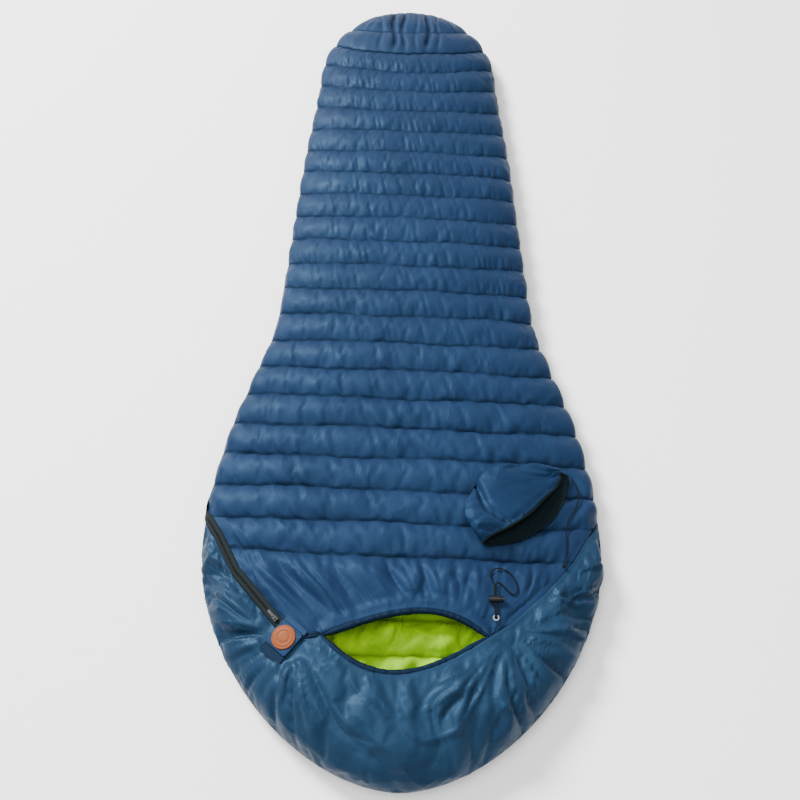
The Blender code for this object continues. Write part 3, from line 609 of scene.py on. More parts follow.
def limp_cord(name, points, body, slot, node):
    """A cord along its points, and a table of its exit, length, diameter, stiffness and lay."""
    made = belongs(cord_curve(name, points, CORD_RADIUS, CORD), body, slot, node)
    return made, {"exit": tuple(map(float, points[0])), "length": round(float(distances(points)[-1]), 3),
                  "diameter": 2 * CORD_RADIUS, "stiffness": "limp", "lay": "loose"}


def cords():
    nodes = frame["nodes"]
    made, facts = limp_cord("hood_drawcord", drawcord_points(), "bag", "cord", "drawcord")
    lock = [nodes["cord_lock_body"], nodes["cord_lock_plunger"], lock_spring()]
    made, facts = limp_cord("sack_closing_cord", sack_cord_points(), "sack", "sack_cord", "sack_cord")


# ---- what lies on the bag ----

def drawcord_points():
    """Out of the eyelet, through the lock, round a loop that lies on the bag, and back beside itself."""
    x, y = EYELET
    high = float(top_z(x - 0.0125, LOCK_Y)) + LOCK_LIFT
    low = float(top_z(x, y))
    up = [(-STRAND_X, y, low + 0.0022), (-STRAND_X, y + 0.0035, low + 0.0052), (-STRAND_X, y + 0.010, high),
          (-STRAND_X, -0.712, high), (-STRAND_X, -0.690, high), (-STRAND_X, -0.671, high)]
    lying = [(px, py, float(top_z(x + px, py)) + CORD_RADIUS + 0.0012) for px, py in LOOP_PLAN]
    down = [(STRAND_X, py, pz) for _, py, pz in reversed(up)]
    return smooth_route([Vector((x + px, py, pz)) for px, py, pz in up + lying + down], 72)


def sack_cord_points():
    """From the upper end of the sack's hem down over the bag, to its knot."""
    rise = [0.0105, 0.0070, 0.0035] + [0.0] * (len(SACK_CORD_PLAN) - 3)
    return smooth_route([skin(x, y, CORD_RADIUS + 0.0014 + r) for (x, y), r in zip(SACK_CORD_PLAN, rise)], 40)


def pressed(points):
    """The fabric under the cords, the cord lock, the closure tab and the stuff sack is held down to the CAD's skin."""
    x, y = points[..., 0], points[..., 1]
    away = np.minimum(np.hypot((x - 0.180) / 1.4, y - LOCK_Y) - 0.012, FAR)
    spots = [(px, py, 0.004) for px, py, _ in (*drawcord_points()[::2], *sack_cord_points()[::2])]
    for px, py, reach in spots + [(*EYELET, 0.009), (*TAB_CENTRE, 0.036)]:
        away = np.minimum(away, np.hypot(x - px, y - py) - reach)
    cosine, sine = math.cos(SACK_ANGLE), math.sin(SACK_ANGLE)
    along = (x - SACK_MOUTH[0]) * cosine + (y - SACK_MOUTH[1]) * sine
    inward = (y - SACK_MOUTH[1]) * cosine - (x - SACK_MOUTH[0]) * sine
    away = np.minimum(away, np.maximum(np.abs(along) - SACK_HALF, np.abs(inward - 0.045) - 0.065))
    hold = 1.0 - ease(away / 0.020)
    held = points.copy()
    over = np.maximum(points[..., 2] - (top_z(x, y) - 0.0006), 0.0)
    held[..., 2] -= over * hold
    return held


# ---- quilted panels ----

def shares(columns):
    """Places across a panel from -1 to 1, closer together near its sides."""
    t = np.linspace(-1.0, 1.0, columns + 1)
    return 0.78 * t + 0.22 * np.sin(math.pi / 2 * t)


def stray(u, y):
    """How far a seam strays from straight across: it falls to the right, bows to the feet at its ends and waves."""
    wide = half_width(y)
    drop = top_z(0.0 * u, y) - top_z(u * wide, y)
    bowed = 0.034 * u ** 2 * ease((y - 0.46) / 0.34)
    return (bowed + 0.33 * drop * (y + 1.345) - 0.028 * u * wide + 0.0016 * np.sin(5.1 * u + 31.0 * y)
            + 0.0012 * np.sin(11.0 * u - 17.0 * y) + 0.0009 * np.sin(47.0 * u + 90.0 * y))


def toward_feet(y):
    """0 over the chest and 1 over the feet, where the baffles are flatter and their seams fainter."""
    return ease((y + 0.45) / 0.9)


def phase_of(y):
    """0 on a seam, 1 on the next."""
    return np.mod((y - SEWN_FIRST) / SEWN_PITCH + 1e-6, 1.0)


def scallop(side, place, station):
    """How the edge of the bag swells between seams. The zip's tape holds the left side straighter."""
    held = 0.60 + 0.40 * ease((place - 0.06) / 0.10) if side < 0 else np.ones_like(place)
    fade = ease((place - SIDE_CORNER_Y) / 0.05)
    swell = np.abs(np.sin(math.pi * phase_of(station))) ** 0.55 * 0.0040 * (1.0 - 0.6 * toward_feet(place))
    return (swell + 0.0005 + 0.0012 * toward_feet(place)) * held * fade


def swell_at(x, y, station):
    return np.where(x < 0, scallop(-1, y, station), scallop(1, y, station))


def skin_x(x, y, station):
    """Where a point of a swollen outline lies across the CAD's own outline, so that its edge stays at seam height."""
    return x * half_width(y) / np.maximum(half_width(y) + swell_at(x, y, station), 1e-6)


def side_x(side, place, station):
    """The bag's edge across, at a place along it. station is the same place before seams stray."""
    outline = side * (half_width(place) + scallop(side, place, station))
    line = LEFT_LINE if side < 0 else RIGHT_LINE
    return np.where(place < SIDE_CORNER_Y, polyline(line, place, 1), outline)


def strip_plan(stations, u):
    """Plan of a quilted strip: rows of stations along the bag, columns of shares across it."""
    station, share = np.meshgrid(stations, u, indexing="ij")
    y = station + stray(share, station)
    left, right = side_x(-1, y, station), side_x(1, y, station)
    return left + (right - left) * (share + 1) / 2, y, station, share


def neckline_distance(x, y):
    """Distance in plan from the lines that the front panel and the hood meet on, and from the zip below them."""
    zip_side = [(-float(half_width(s)), s) for s in np.linspace(SIDE_CORNER_Y, ZIP_END_Y + 0.02, 24)][::-1]
    best = np.full(np.shape(x), FAR)
    for chain in (zip_side + list(reversed(LEFT_LINE[:-1])), RIGHT_LINE):
        for (ax, ay), (bx, by) in zip(chain, chain[1:]):
            dx, dy = bx - ax, by - ay
            t = np.clip(((x - ax) * dx + (y - ay) * dy) / (dx * dx + dy * dy), 0.0, 1.0)
            best = np.minimum(best, np.hypot(x - ax - t * dx, y - ay - t * dy))
    return best


def front_plan():
    """Plan of the front panel: a band from the lip to the first seam, then the baffles down to the footbox.

    For each point: its place across and along, its station, how far it puffs up, and how near a seam it is.
    """
    u = shares(FRONT_COLUMNS)
    number = np.arange(ROWS_PER_BAFFLE * FOOTBOX_SEAM + 1)
    stations = SEWN_FIRST + SEWN_PITCH * (number // ROWS_PER_BAFFLE + ROW_PHASES[number % ROWS_PER_BAFFLE])
    x, y, station, share = strip_plan(stations, u)
    v = np.linspace(1.0, 0.0, BAND_ROWS + 1)[:-1, None]
    top = np.stack([x[0], y[0]], -1)
    t = (u + 1) / 2
    foot_x = ZIP_TOP[0] + (RIGHT_SEAM[0][0] - ZIP_TOP[0]) * t
    foot_y = np.where(foot_x < LEFT_CORNER[0], polyline((ZIP_TOP, LEFT_CORNER), foot_x),
                      np.where(foot_x > RIGHT_CORNER[0], polyline((RIGHT_CORNER, RIGHT_SEAM[0]), foot_x),
                               lip_y(foot_x, UPPER_LIP_Y)))
    foot = np.stack([foot_x, foot_y], -1)
    left = spaced([top[0], ZIP_BEND, ZIP_TOP], BAND_ROWS + 1)[:0:-1]
    right = spaced([top[-1], *RIGHT_SEAM[::-1]], BAND_ROWS + 1)[:0:-1]
    vv, tt = v[..., None], t[None, :, None]
    band = ((1 - vv) * top + vv * foot + (1 - tt) * left[:, None] + tt * right[:, None]
            - (1 - vv) * ((1 - tt) * top[0] + tt * top[-1]) - vv * ((1 - tt) * foot[0] + tt * foot[-1]))
    x = np.concatenate([band[..., 0], x])
    y = np.concatenate([band[..., 1], y])
    ones = np.ones_like(share[:1])
    puff = np.concatenate([np.sin(math.pi * v) ** 0.5 * ones * 0.9, np.sin(math.pi * phase_of(station)) ** 0.6])
    puff[BAND_ROWS + ROWS_PER_BAFFLE * np.arange(FOOTBOX_SEAM + 1)] = 0.0
    turn = np.cos(math.pi * phase_of(station))
    seamward = np.concatenate([1.0 - v * ones, np.maximum(turn, 0.0) ** 1.3 + 0.3 * np.maximum(-turn, 0.0) ** 2])
    return x, y, np.concatenate([band[..., 1], station]), puff, seamward


def front_panel():
    x, y, station, puff, seamward = front_plan()
    feet = toward_feet(y)
    lip = np.minimum(np.abs(y - lip_y(x, UPPER_LIP_Y)), 1.0) + np.where(np.abs(x - MOUTH_X) < MOUTH_HALF, 0.0, 1.0)
    beside_zip = ease((y - SIDE_CORNER_Y - 0.01) / 0.03) * (1.0 - ease((y - ZIP_END_Y) / 0.03))
    near = np.minimum(neckline_distance(x, y) + 0.02 * beside_zip, np.where(y < -0.64, lip, FAR))
    fade = ease((near - 0.006) / 0.03)
    flatter = 1.0 - 0.32 * feet
    depth = EDGE_DEPTH + (SEAM_DEPTH * flatter - EDGE_DEPTH) * ease((near - 0.004) / 0.030)
    level_x = skin_x(x, y, station)
    base = np.stack([x, y, top_z(level_x, y, depth)], -1)
    r, c = cells(x)
    band = r < BAND_ROWS
    pucker = seamward * (1.0 - 0.30 * feet) * ease(noise(r / 12.0, c / 11.0, 9) + 0.6)
    sharp = folds((r + 0.6 * c) / 12.0, (c + 0.4 * r) / 3.2, 4)
    lively = (1.0 + 0.08 * noise(r / 9.0, c / 16.0, 3)
              + pucker * (1.35 * (sharp - 0.5) + 0.45 * noise(r / 12.0, c / 9.0, 7)))
    side = ease((1.0 - across(level_x, y)) / 0.03) * 0.75 + 0.25
    loft = PUFF - SEAM_DEPTH * (1.0 - flatter)
    height = (loft * puff + PUFF * puff * (lively - 1.0)) * fade * side
    slant = (0.6 * noise((r + 0.15 * c) / 30.0, c / 8.0, 5)
             + 1.2 * folds((r - 0.2 * c) / 20.0, (c + 0.5 * r) / 7.0, 8) - 0.5)
    patchy = 0.35 + 0.65 * ease(noise(r / 20.0, c / 9.0, 13) + 0.5)
    tucked = (folds((r + 0.5 * c) / 13.0, (c + 0.4 * r) / 3.9, 10) * patchy
              * np.clip(1.0 - r / 17.0, 0.0, 1.0) * np.minimum(r / 2.0, 1.0))
    drawn_in = fade * (0.0110 * slant * np.sin(math.pi * r / BAND_ROWS) - 0.0095 * tucked)
    height = np.where(band, height * 1.25 + drawn_in, height)
    outer = base + normals(base) * height[..., None]
    pinned = hemmed((puff == 0.0) | (near < MARGIN))
    outer = simulate(outer, pinned, extra=0.020, frames=14, cap=0.006, pressure=30.0, bending=2.0)
    outer = pressed(outer)
    outer[:, [0, -1], 2] = np.where(y[:, [0, -1]] > SIDE_CORNER_Y, SEAM_Z, outer[:, [0, -1], 2])
    inner_depth = 0.024 + 0.012 * puff * ease(near / 0.03)
    inset = 1.0 - across(x, y) ** 2 * inner_depth / SHOULDER_HALF
    inner = np.stack([x * inset, y, top_z(level_x, y, inner_depth + 0.0008 * noise(r / 3.0, c / 4.0, 6))], -1)
    inner[0] = outer[0] + (inner[0] - outer[0]) * np.array([1.0, 1.0, 0.55])
    # painted shade along the seams, none in the band under the lip but its last two rows, fainter towards the feet and
    # broken by noise
    painted_shade = np.where(band & (r < BAND_ROWS - 2), 0.0, 1.0 - ease(puff / 0.42))
    painted_shade = painted_shade * (1.0 - 0.35 * feet) * (0.60 + 0.40 * ease(noise(r / 12.0, c / 9.0, 14) + 0.6))
    made = belongs(closed_panel("front_panel", outer, inner, [SHELL, LINING], painted_shade), ACROSS_FOLD, "shell_fabric",
                   "front_shell", "front_fill", "front_lining", "flap_shell", "flap_fill", "flap_lining")


def back_panel():
    """The underside, quilted like the front and pressed flat where it rests."""
    u = shares(96)
    per = 8
    stations = np.concatenate([[NECK_Y, SEWN_FIRST + SEWN_PITCH / 2],
                               SEWN_FIRST + SEWN_PITCH / per * np.arange(per, per * FOOTBOX_SEAM + 1)])
    station, share = np.meshgrid(stations, u, indexing="ij")
    y = station + stray(share, station) * ease((station - NECK_Y) / 0.08)
    x = share * (half_width(y) + swell_at(share, y, station))
    puff = np.abs(np.sin(math.pi * phase_of(station))) ** 0.6
    sunk = 0.007 * (1.0 - puff) * ease((station - NECK_Y) / 0.05)
    level_x = share * half_width(y)
    outer = np.stack([x, y, np.maximum(bottom_z(level_x, y, sunk), FLOOR_GAP)], -1)
    depth = 0.030
    inset = 1.0 - across(x, y) ** 2 * depth / SHOULDER_HALF
    inner = np.stack([x * inset, y, bottom_z(level_x, y, depth)], -1)
    # painted shade along the underside's seams, none at the neck
    painted_shade = (1.0 - ease(puff / 0.42)) * ease((station - NECK_Y) / 0.05)
    made = closed_panel("back_panel", outer, inner, [SHELL, LINING], painted_shade)
    belongs(made, "bag", "shell_fabric", "back_shell", "back_fill")


def lining_floor():
    """The green quilted lining that the sleeper lies on, from the hood to the footbox."""
    u = shares(104)
    per = 10
    first = -3
    stations = LINING_SEAM_Y + BAFFLE * (first + np.arange(per * (FOOTBOX_SEAM - first) - 4) / per)
    station, share = np.meshgrid(stations, u, indexing="ij")
    y = station + stray(share, station) * 0.7
    x = share * np.maximum(half_width(y) - 0.010 - 0.030 * ease((NECK_Y - y) / 0.2), 0.05)
    puff = np.abs(np.sin(math.pi * (station - LINING_SEAM_Y) / BAFFLE)) ** 0.6
    puff[::per] = 0.0
    r, c = cells(x)
    side = ease((1 - np.abs(share)) / 0.05)
    crease = folds((r + 0.5 * c) / 14.0, (c - 0.5 * r) / 4.5, 12)
    height = puff ** 0.8 * (0.0120 * (1.0 + 0.3 * noise(r / 7.0, c / 6.0, 11)) + 0.0290 * crease - 0.011)
    raised = 0.0058 * ease((np.abs(share) - 0.86) / 0.08)
    outer = np.stack([x, y, 0.0345 + height * side + raised], -1)
    outer = simulate(outer, hemmed(puff == 0.0), extra=0.025, frames=8, cap=0.004, pressure=10.0, bending=0.6)
    outer[..., 2] = np.minimum(outer[..., 2], top_z(x, y, 0.040) - 0.002)
    inner = np.stack([x, y, np.full_like(x, 0.0312)], -1)
    # painted shade along the lining's seams
    painted_shade = 0.75 * (1.0 - ease(puff / 0.35))
    made = closed_panel("lining_floor", outer, inner, [LINING, LINING], painted_shade)
    belongs(made, "bag", "lining_fabric", "back_lining", "hood_lining")


def footbox_panel():
    """Two baffles bowed towards the feet, gathered by pinched folds near the middle."""
    u = shares(FRONT_COLUMNS)
    t = np.linspace(0.0, 1.0, 52)
    length = HALF_LENGTH - SEWN_FOOTBOX_Y
    stations = SEWN_FOOTBOX_Y + length * (1.0 - (1.0 - t) ** 1.45)
    station, share = np.meshgrid(stations, u, indexing="ij")
    walk = (station - SEWN_FOOTBOX_Y) / length
    calm = 1.0 - ease(walk / 0.9)
    y = station + stray(share, np.full_like(station, SEWN_FOOTBOX_Y)) * calm
    x = share * (half_width(y) + swell_at(share, y, station) * calm)
    seam = SEWN_FOOTBOX_Y + 0.088 + 0.016 * share ** 2
    bounds = [np.full_like(y, SEWN_FOOTBOX_Y), seam, np.full_like(y, HALF_LENGTH + 0.012)]
    phase = np.zeros_like(y)
    for low, high in zip(bounds, bounds[1:]):
        inside = (station >= low) & (station < high)
        phase = np.where(inside, (station - low) / (high - low), phase)
    puff = np.abs(np.sin(math.pi * phase)) ** 0.6
    r, c = cells(x)
    tip = ease((HALF_LENGTH - station) / 0.022)
    level_x = share * half_width(y)
    base = np.stack([x, y, top_z(level_x, y, 0.68 * SEAM_DEPTH * tip)], -1)
    gather = np.zeros_like(x)
    for centre, width, depth in FOOT_GATHERS:
        wander = 0.004 * np.sin(40.0 * station + 50.0 * centre)
        gather = np.maximum(gather, depth * np.exp(-((x - centre - wander) / width) ** 2))
    gather *= ease((station - SEWN_FOOTBOX_Y) / 0.05) * ease((HALF_LENGTH - station) / 0.06)
    lively = (1.0 + 0.15 * noise(r / 8.0, c / 12.0, 22)
              + 0.25 * np.abs(np.cos(math.pi * phase)) * noise(r / 12.0, c / 5.0, 23))
    height = 0.65 * PUFF * puff * lively * tip - 0.010 * gather * puff ** 0.5
    side = ease((1.0 - np.abs(share)) / 0.04) * 0.5 + 0.5
    outer = base + normals(base) * (height * side)[..., None]
    pinned = hemmed(np.abs(station - seam) < 0.0026)
    pinned[-3:] = True
    outer = simulate(outer, pinned, extra=0.03, frames=18, cap=0.009)
    outer[:, [0, -1], 2] = SEAM_Z
    under = np.stack([x, y, np.maximum(bottom_z(level_x, y, 0.006 * (1.0 - puff)), FLOOR_GAP)], -1)
    # painted shade along the footbox seams and in its pinched gathers
    painted_shade = np.maximum(0.7 * (1.0 - ease(puff / 0.40)) * tip, 0.70 * gather ** 2)
    made = closed_panel("footbox_panel", outer, under, [SHELL, SHELL], painted_shade)
    belongs(made, "bag", "shell_fabric", "footbox_shell", "footbox_fill", "footbox_lining")


# ---- hood ----

def hood_outline(angle):
    reach = HALF_LENGTH + SHOULDER_Y
    cosine = np.cos(angle)
    return np.stack([-np.sign(cosine) * SHOULDER_HALF * np.abs(cosine) ** 1.12,
                     SHOULDER_Y - reach * np.sin(angle) ** 1.111], -1)


def hood_plan(columns, over, under):
    """Plan of the hood: rows from its seam and lip out to its rim, and rows under it to the neck."""
    side = float(half_width(SIDE_CORNER_Y))
    lip = [(x, float(lip_y(x, LOWER_LIP_Y))) for x in np.linspace(LEFT_CORNER[0], RIGHT_CORNER[0], 41)]
    line = [(-side, SIDE_CORNER_Y), ZIP_SHOULDER, ZIP_BEND, ZIP_TOP] + lip + list(RIGHT_LINE)
    edge = spaced(line, columns + 1)[::-1]
    rim = spaced(hood_outline(np.linspace(0.125, math.pi - 0.125, 400)), columns + 1)[::-1]
    neck = np.stack([edge[:, 0] / half_width(edge[:, 1]) * float(half_width(NECK_Y)),
                     np.full(columns + 1, NECK_Y - 0.0004)], -1)
    t = np.linspace(0.0, 1.0, over + 1)[:, None, None]
    plan = edge + (rim - edge) * (1.0 - (1.0 - t) ** 1.35)
    t = np.linspace(0.0, 1.0, under + 1)[1:, None, None]
    return plan, rim + (neck - rim) * (t ** 1.3)


def hood_creases(x, y, calm):
    """Height of the creases that run out from the eyelet on the right and from the closure tab on the left."""
    ridge = 0.0
    for source_x, source_y, turned, seed in CREASE_SOURCES:
        angle = np.arctan2(y - source_y, turned * (x - source_x)) / math.tau % 1.0 * math.tau
        away = np.hypot(x - source_x, y - source_y)
        weight = ease((turned * (x - 0.02) + 0.10) / 0.20)
        bend = 0.16 * noise(away / 0.09 + 0.0 * angle, angle / 0.6, seed)
        big = folds(away / 0.30, (angle + bend) / 0.22, seed + 1)
        small = folds(away / 0.14, (angle + 1.5 * bend) / 0.085, seed + 2)
        sharp = (1.0 - folds(away / 0.10, (angle - bend) / 0.15, seed + 3)) ** 3
        lift = ((0.0165 * big + 0.0115 * small * calm) * ease((away - 0.02) / 0.12)
                + 0.0085 * sharp * calm * ease((away - 0.01) / 0.05))
        ridge = ridge + weight * lift * (0.25 + 0.75 * ease((-0.52 - y) / 0.16))
    return ridge


def hood_panel():
    columns, over, under = 210, 52, 34
    plan, below = hood_plan(columns, over, under)
    edge = plan[0].copy()
    r, c = cells(plan)
    from_side = np.minimum(c, columns - c)
    out_to = half_width(plan[..., 1]) / np.maximum(np.abs(plan[..., 0]), 1e-6)
    plan[..., 0] *= 1.0 + np.maximum(1.0 - from_side / 10.0, 0.0) * (out_to - 1.0)
    x, y = plan[..., 0], plan[..., 1]
    near = np.minimum(neckline_distance(x, y), np.linalg.norm(plan - edge, axis=-1))
    depth = EDGE_DEPTH + 0.007 * ease((near - 0.004) / 0.04) * (1.0 - ease((r / over - 0.75) / 0.25))
    base = np.stack([x, y, top_z(x, y, depth)], -1)
    reach = ease(r / over / 0.25) * (1.0 - ease((r / over - 0.70) / 0.30))
    ridge = hood_creases(x, y, 1.0 - 0.85 * ease((r / over - 0.42) / 0.30))
    height = reach * (ridge + 0.003 * noise(r / 15.0, c / 16.0, 33)) + 0.002 * ease(near / 0.03)
    height = height * ease(from_side / 9.0)
    outer = base + normals(base) * height[..., None]
    outer = simulate(outer, hemmed(near < MARGIN), extra=0.035, frames=9, cap=0.006, pressure=6.0, bending=0.6)
    outer = pressed(outer)
    floor = np.stack([below[..., 0], below[..., 1], np.maximum(bottom_z(below[..., 0], below[..., 1]), FLOOR_GAP)], -1)
    whole = np.concatenate([outer, floor])
    plan = np.concatenate([plan, below])
    x, y = plan[..., 0], plan[..., 1]
    row = np.arange(len(whole))[:, None]
    thick = 0.028 * np.ones((len(whole), 1))
    thick[:6, 0] = np.linspace(0.012, 0.028, 6)
    inset = 1.0 - across(x, y) ** 2 * thick / SHOULDER_HALF
    pull = ease((NECK_Y - y) / 0.12) * np.clip(1.0 - np.abs(row - over) / over, 0, 1)
    inner = np.stack([x * inset, y * (1.0 - pull * thick / HALF_LENGTH),
                      np.where(row <= over, top_z(x, y, thick + 0.004), bottom_z(x, y, thick))], -1)
    made = closed_panel("hood_panel", whole, inner, [HOOD, LINING])
    belongs(made, "bag", "hood_fabric", "hood_shell", "hood_fill")


# ---- small meshes ----

def placed(made, matrix):
    made.data.transform(matrix)
    return made


def ring_mesh(name, rings, material, closed=False):
    """A closed body of rings of points: capped at both ends, or where closed is set, joined end to end."""
    rings = np.asarray(rings)
    count, around, _ = rings.shape
    if closed:
        rings = np.concatenate([rings, rings[:1]])
        count += 1
    faces = [list(f) for f in grid_faces(count, around, cyclic=True)]
    if not closed:
        faces += [list(range(around))[::-1], list(range((count - 1) * around, count * around))]
    return finished(new_object(name, mesh_from(name, rings, faces)), [material])


def tube_mesh(name, centres, radii, material, closed=False, sides=14):
    """A tube of changing radius along a line."""
    centres = np.asarray(centres, float)
    ahead = np.gradient(centres, axis=0)
    if closed:
        ahead = np.roll(centres, -1, axis=0) - np.roll(centres, 1, axis=0)
    ahead /= np.linalg.norm(ahead, axis=1, keepdims=True)
    side = np.cross(ahead, (0.0, 0.0, 1.0))
    side /= np.maximum(np.linalg.norm(side, axis=1, keepdims=True), 1e-9)
    up = np.cross(side, ahead)
    turn = 2 * math.pi * np.arange(sides) / sides
    radii = np.broadcast_to(np.asarray(radii, float), (len(centres),))[:, None, None]
    rings = centres[:, None] + radii * (side[:, None] * np.cos(turn)[:, None] + up[:, None] * np.sin(turn)[:, None])
    return ring_mesh(name, rings, material, closed=closed)


def outline_rings(outline, profile):
    """Rings of an outline, each drawn in by an amount and at a height."""
    outline = np.asarray(outline, float)
    middle = outline.mean(axis=0)
    reach = np.linalg.norm(outline - middle, axis=1, keepdims=True)
    rings = []
    for inward, height in profile:
        plan = middle + (outline - middle) * np.maximum(1.0 - inward / reach, 0.02)
        rings.append(np.concatenate([plan, np.full((len(plan), 1), height)], axis=1))
    return rings


def rounded_outline(half_x, half_y, radius, centre=(0.0, 0.0), steps=6):
    points = []
    for corner, (sx, sy) in enumerate(((1, 1), (-1, 1), (-1, -1), (1, -1))):
        for step in range(steps + 1):
            angle = math.pi / 2 * (corner + step / steps)
            points.append((centre[0] + sx * (half_x - radius) + radius * math.cos(angle),
                           centre[1] + sy * (half_y - radius) + radius * math.sin(angle)))
    return points


def plate(name, outline, low, high, soft, material, matrix):
    """A flat piece with rounded rims."""
    thick = high - low
    profile = [(0.4, low), (soft, low), (0.0, low + thick * 0.35), (0.0, low + thick * 0.65), (soft, high),
               (soft * 3, high), (soft * 8, high), (0.4, high)]
    return placed(ring_mesh(name, outline_rings(outline, profile), material), matrix)


def stitches(name, places, ups, stitch, gap, radius, material):
    """A line of stitches: short rounded threads laid end to end along a line of places."""
    places, ups = np.asarray(places, float), np.asarray(ups, float)
    walked = distances(places)
    points, faces = [], []
    for start in np.arange(0.0, walked[-1] - stitch, stitch + gap):
        a, b = (at_distance(w, walked, places) for w in (start, start + stitch))
        up = at_distance(start + stitch / 2, walked, ups)
        ahead = (b - a) / np.linalg.norm(b - a)
        side = np.cross(ahead, up)
        side /= np.linalg.norm(side)
        base = len(points)
        for share, size, lift in ((0.0, 0.35, -0.6), (0.2, 1.0, 0.2), (0.8, 1.0, 0.2), (1.0, 0.35, -0.6)):
            centre = a + (b - a) * share + up * radius * lift
            for k in range(6):
                angle = math.pi / 3 * k
                points.append(centre + radius * size * (side * math.cos(angle) + up * math.sin(angle)))
        faces += grid_faces(4, 6, cyclic=True, base=base).tolist()
        faces.append([base + k for k in range(6)][::-1])
        faces.append([base + 18 + k for k in range(6)])
    return finished(new_object(name, mesh_from(name, points, faces)), [material])


# ---- face opening ----

def lip_tube(name, middle, toward, seed):
    """A padded, gathered drawcord channel along one lip of the face opening, with a tail to the closure tab."""
    corner = LEFT_CORNER[0]
    x = np.linspace(corner - 0.036, RIGHT_CORNER[0] - 0.003, 170)
    tail = ease((corner + 0.006 - x) / 0.014)
    y = np.where(x > corner, lip_y(x, middle), polyline((ZIP_TOP, LEFT_CORNER), x))
    share = np.abs(x - MOUTH_X) / MOUTH_HALF
    taper = 1.0 - 0.45 * ease((share - 0.80) / 0.20)
    gather = 1.0 + 0.09 * noise(0.0 * x, x / 0.006, seed) + 0.06 * noise(0.0 * x, x / 0.015, seed + 1)
    radius = 0.0062 * taper * gather
    y = y + toward * (0.0034 * taper * (1.0 - tail) - 0.0024 * tail)
    line = spaced(np.stack([x, y, top_z(x, y) - 0.0078 + 0.0052 * tail], -1), len(x))
    return tube_mesh(name, line, radius, BINDING)


def face_opening():
    belongs(lip_tube("upper_lip_channel", UPPER_LIP_Y, -1, 41), ACROSS_FOLD, "binding",
            "face_channel_flap", "face_channel_front")
    belongs(lip_tube("lower_lip_channel", LOWER_LIP_Y, 1, 43), "bag", "binding", "face_channel_hood")


# ---- zip ----

def zip_place(y):
    """The zip's middle at a station, and the direction across it towards the front panel."""
    width = float(half_width(y))
    swollen = width + float(scallop(-1, y, y - stray(-1.0, y)))
    u = np.cos(np.linspace(0, math.pi / 2, 120))
    over = np.stack([-u * swollen, np.full_like(u, y), top_z(-u * width, y)], -1)
    under = np.stack([-u[1:70] * swollen, np.full(69, y), bottom_z(-u[1:70] * width, y)], -1)
    chain = np.concatenate([under[::-1], over])
    walked = distances(chain)
    middle = walked[69] - 0.015 * float(ease((y - SIDE_CORNER_Y) / 0.06))
    if y < SIDE_CORNER_Y:
        middle = np.interp(float(polyline(LEFT_LINE, y, 1)), chain[69:, 0], walked[69:])
    place, inner, outer = (at_distance(middle + step, walked, chain) for step in (0.0, 0.004, -0.004))
    return place, inner - outer


def zip_line(pitch):
    """Places evenly spaced along the zip, with the directions along it, towards the front panel and outward."""
    found = [zip_place(y) for y in np.linspace(ZIP_TOP[1] + 0.006, ZIP_END_Y, 240)]
    places, sides = np.array([f[0] for f in found]), np.array([f[1] for f in found])
    kernel = np.ones(5) / 5
    sides = np.stack([np.convolve(np.pad(sides[:, k], 2, "edge"), kernel, "valid") for k in range(3)], -1)
    walked = distances(places)
    wanted = np.arange(0.0, walked[-1], pitch)
    places, sides = at_distance(wanted, walked, places), at_distance(wanted, walked, sides)
    ahead = np.gradient(places, axis=0)
    ahead /= np.linalg.norm(ahead, axis=1, keepdims=True)
    out = np.cross(ahead, sides)
    out *= np.sign(out @ np.array([-1.0, 0.0, 0.3]))[:, None]
    out /= np.linalg.norm(out, axis=1, keepdims=True)
    sides = np.cross(out, ahead) * np.sign(np.sum(np.cross(out, ahead) * sides, axis=1))[:, None]
    return places, ahead, sides, out


def zip_tape(side, part):
    places, _, sides, out = zip_line(0.005)
    reach = np.array([0.0019, 0.0042, 0.0064, 0.0086, 0.0106])
    lift = np.array([0.0030, 0.0029, 0.0026, 0.0017, 0.0002])
    k = np.arange(len(places), dtype=float)[:, None]
    wave = 0.0004 * noise(k / 6.0 + 0 * reach, 0 * k + reach / 0.004, 51 + side)
    top = places[:, None] + side * sides[:, None] * reach[:, None] + out[:, None] * (lift + wave)[..., None]
    low = top - out[:, None] * 0.0008
    made = closed_panel(f"zip_tape_{part}_side", top, low, [TAPE, TAPE])
    line = places + side * sides * 0.0080 + out * 0.0022
    return made, stitches(f"zip_stitching_{part}_side", line, out, 0.0030, 0.0012, 0.00045, THREAD)


def zip_coil(side, part):
    """One side of the zip's coil: a turn every pitch, offset by half a pitch from the other side."""
    pitch = 0.0024
    places, ahead, sides, out = zip_line(pitch)
    if side < 0:
        places = places + ahead * pitch / 2
    points, faces = [], []
    shape = [(0.0002, -0.00055), (0.0002, 0.00055), (0.0023, 0.00075), (0.0023, -0.00075)]
    for place, along, across_zip, up in zip(places[:-1], ahead, sides, out):
        base = len(points)
        for height, grow in ((ZIP_LIFT, 1.0), (ZIP_LIFT + 0.0013, 1.0), (ZIP_LIFT + 0.0020, 0.6)):
            for reach, half in shape:
                points.append(place + side * across_zip * (0.0012 + (reach - 0.0012) * grow) + along * half * grow
                              + up * height)
        faces.append([base, base + 1, base + 2, base + 3])
        faces.append([base + 11, base + 10, base + 9, base + 8])
        for level in (0, 4):
            for j in range(4):
                faces.append([base + level + j, base + level + 4 + j, base + level + 4 + (j + 1) % 4,
                              base + level + (j + 1) % 4])
    return finished(new_object(f"zip_coil_{part}_side", mesh_from("coil", points, faces)), [COIL])


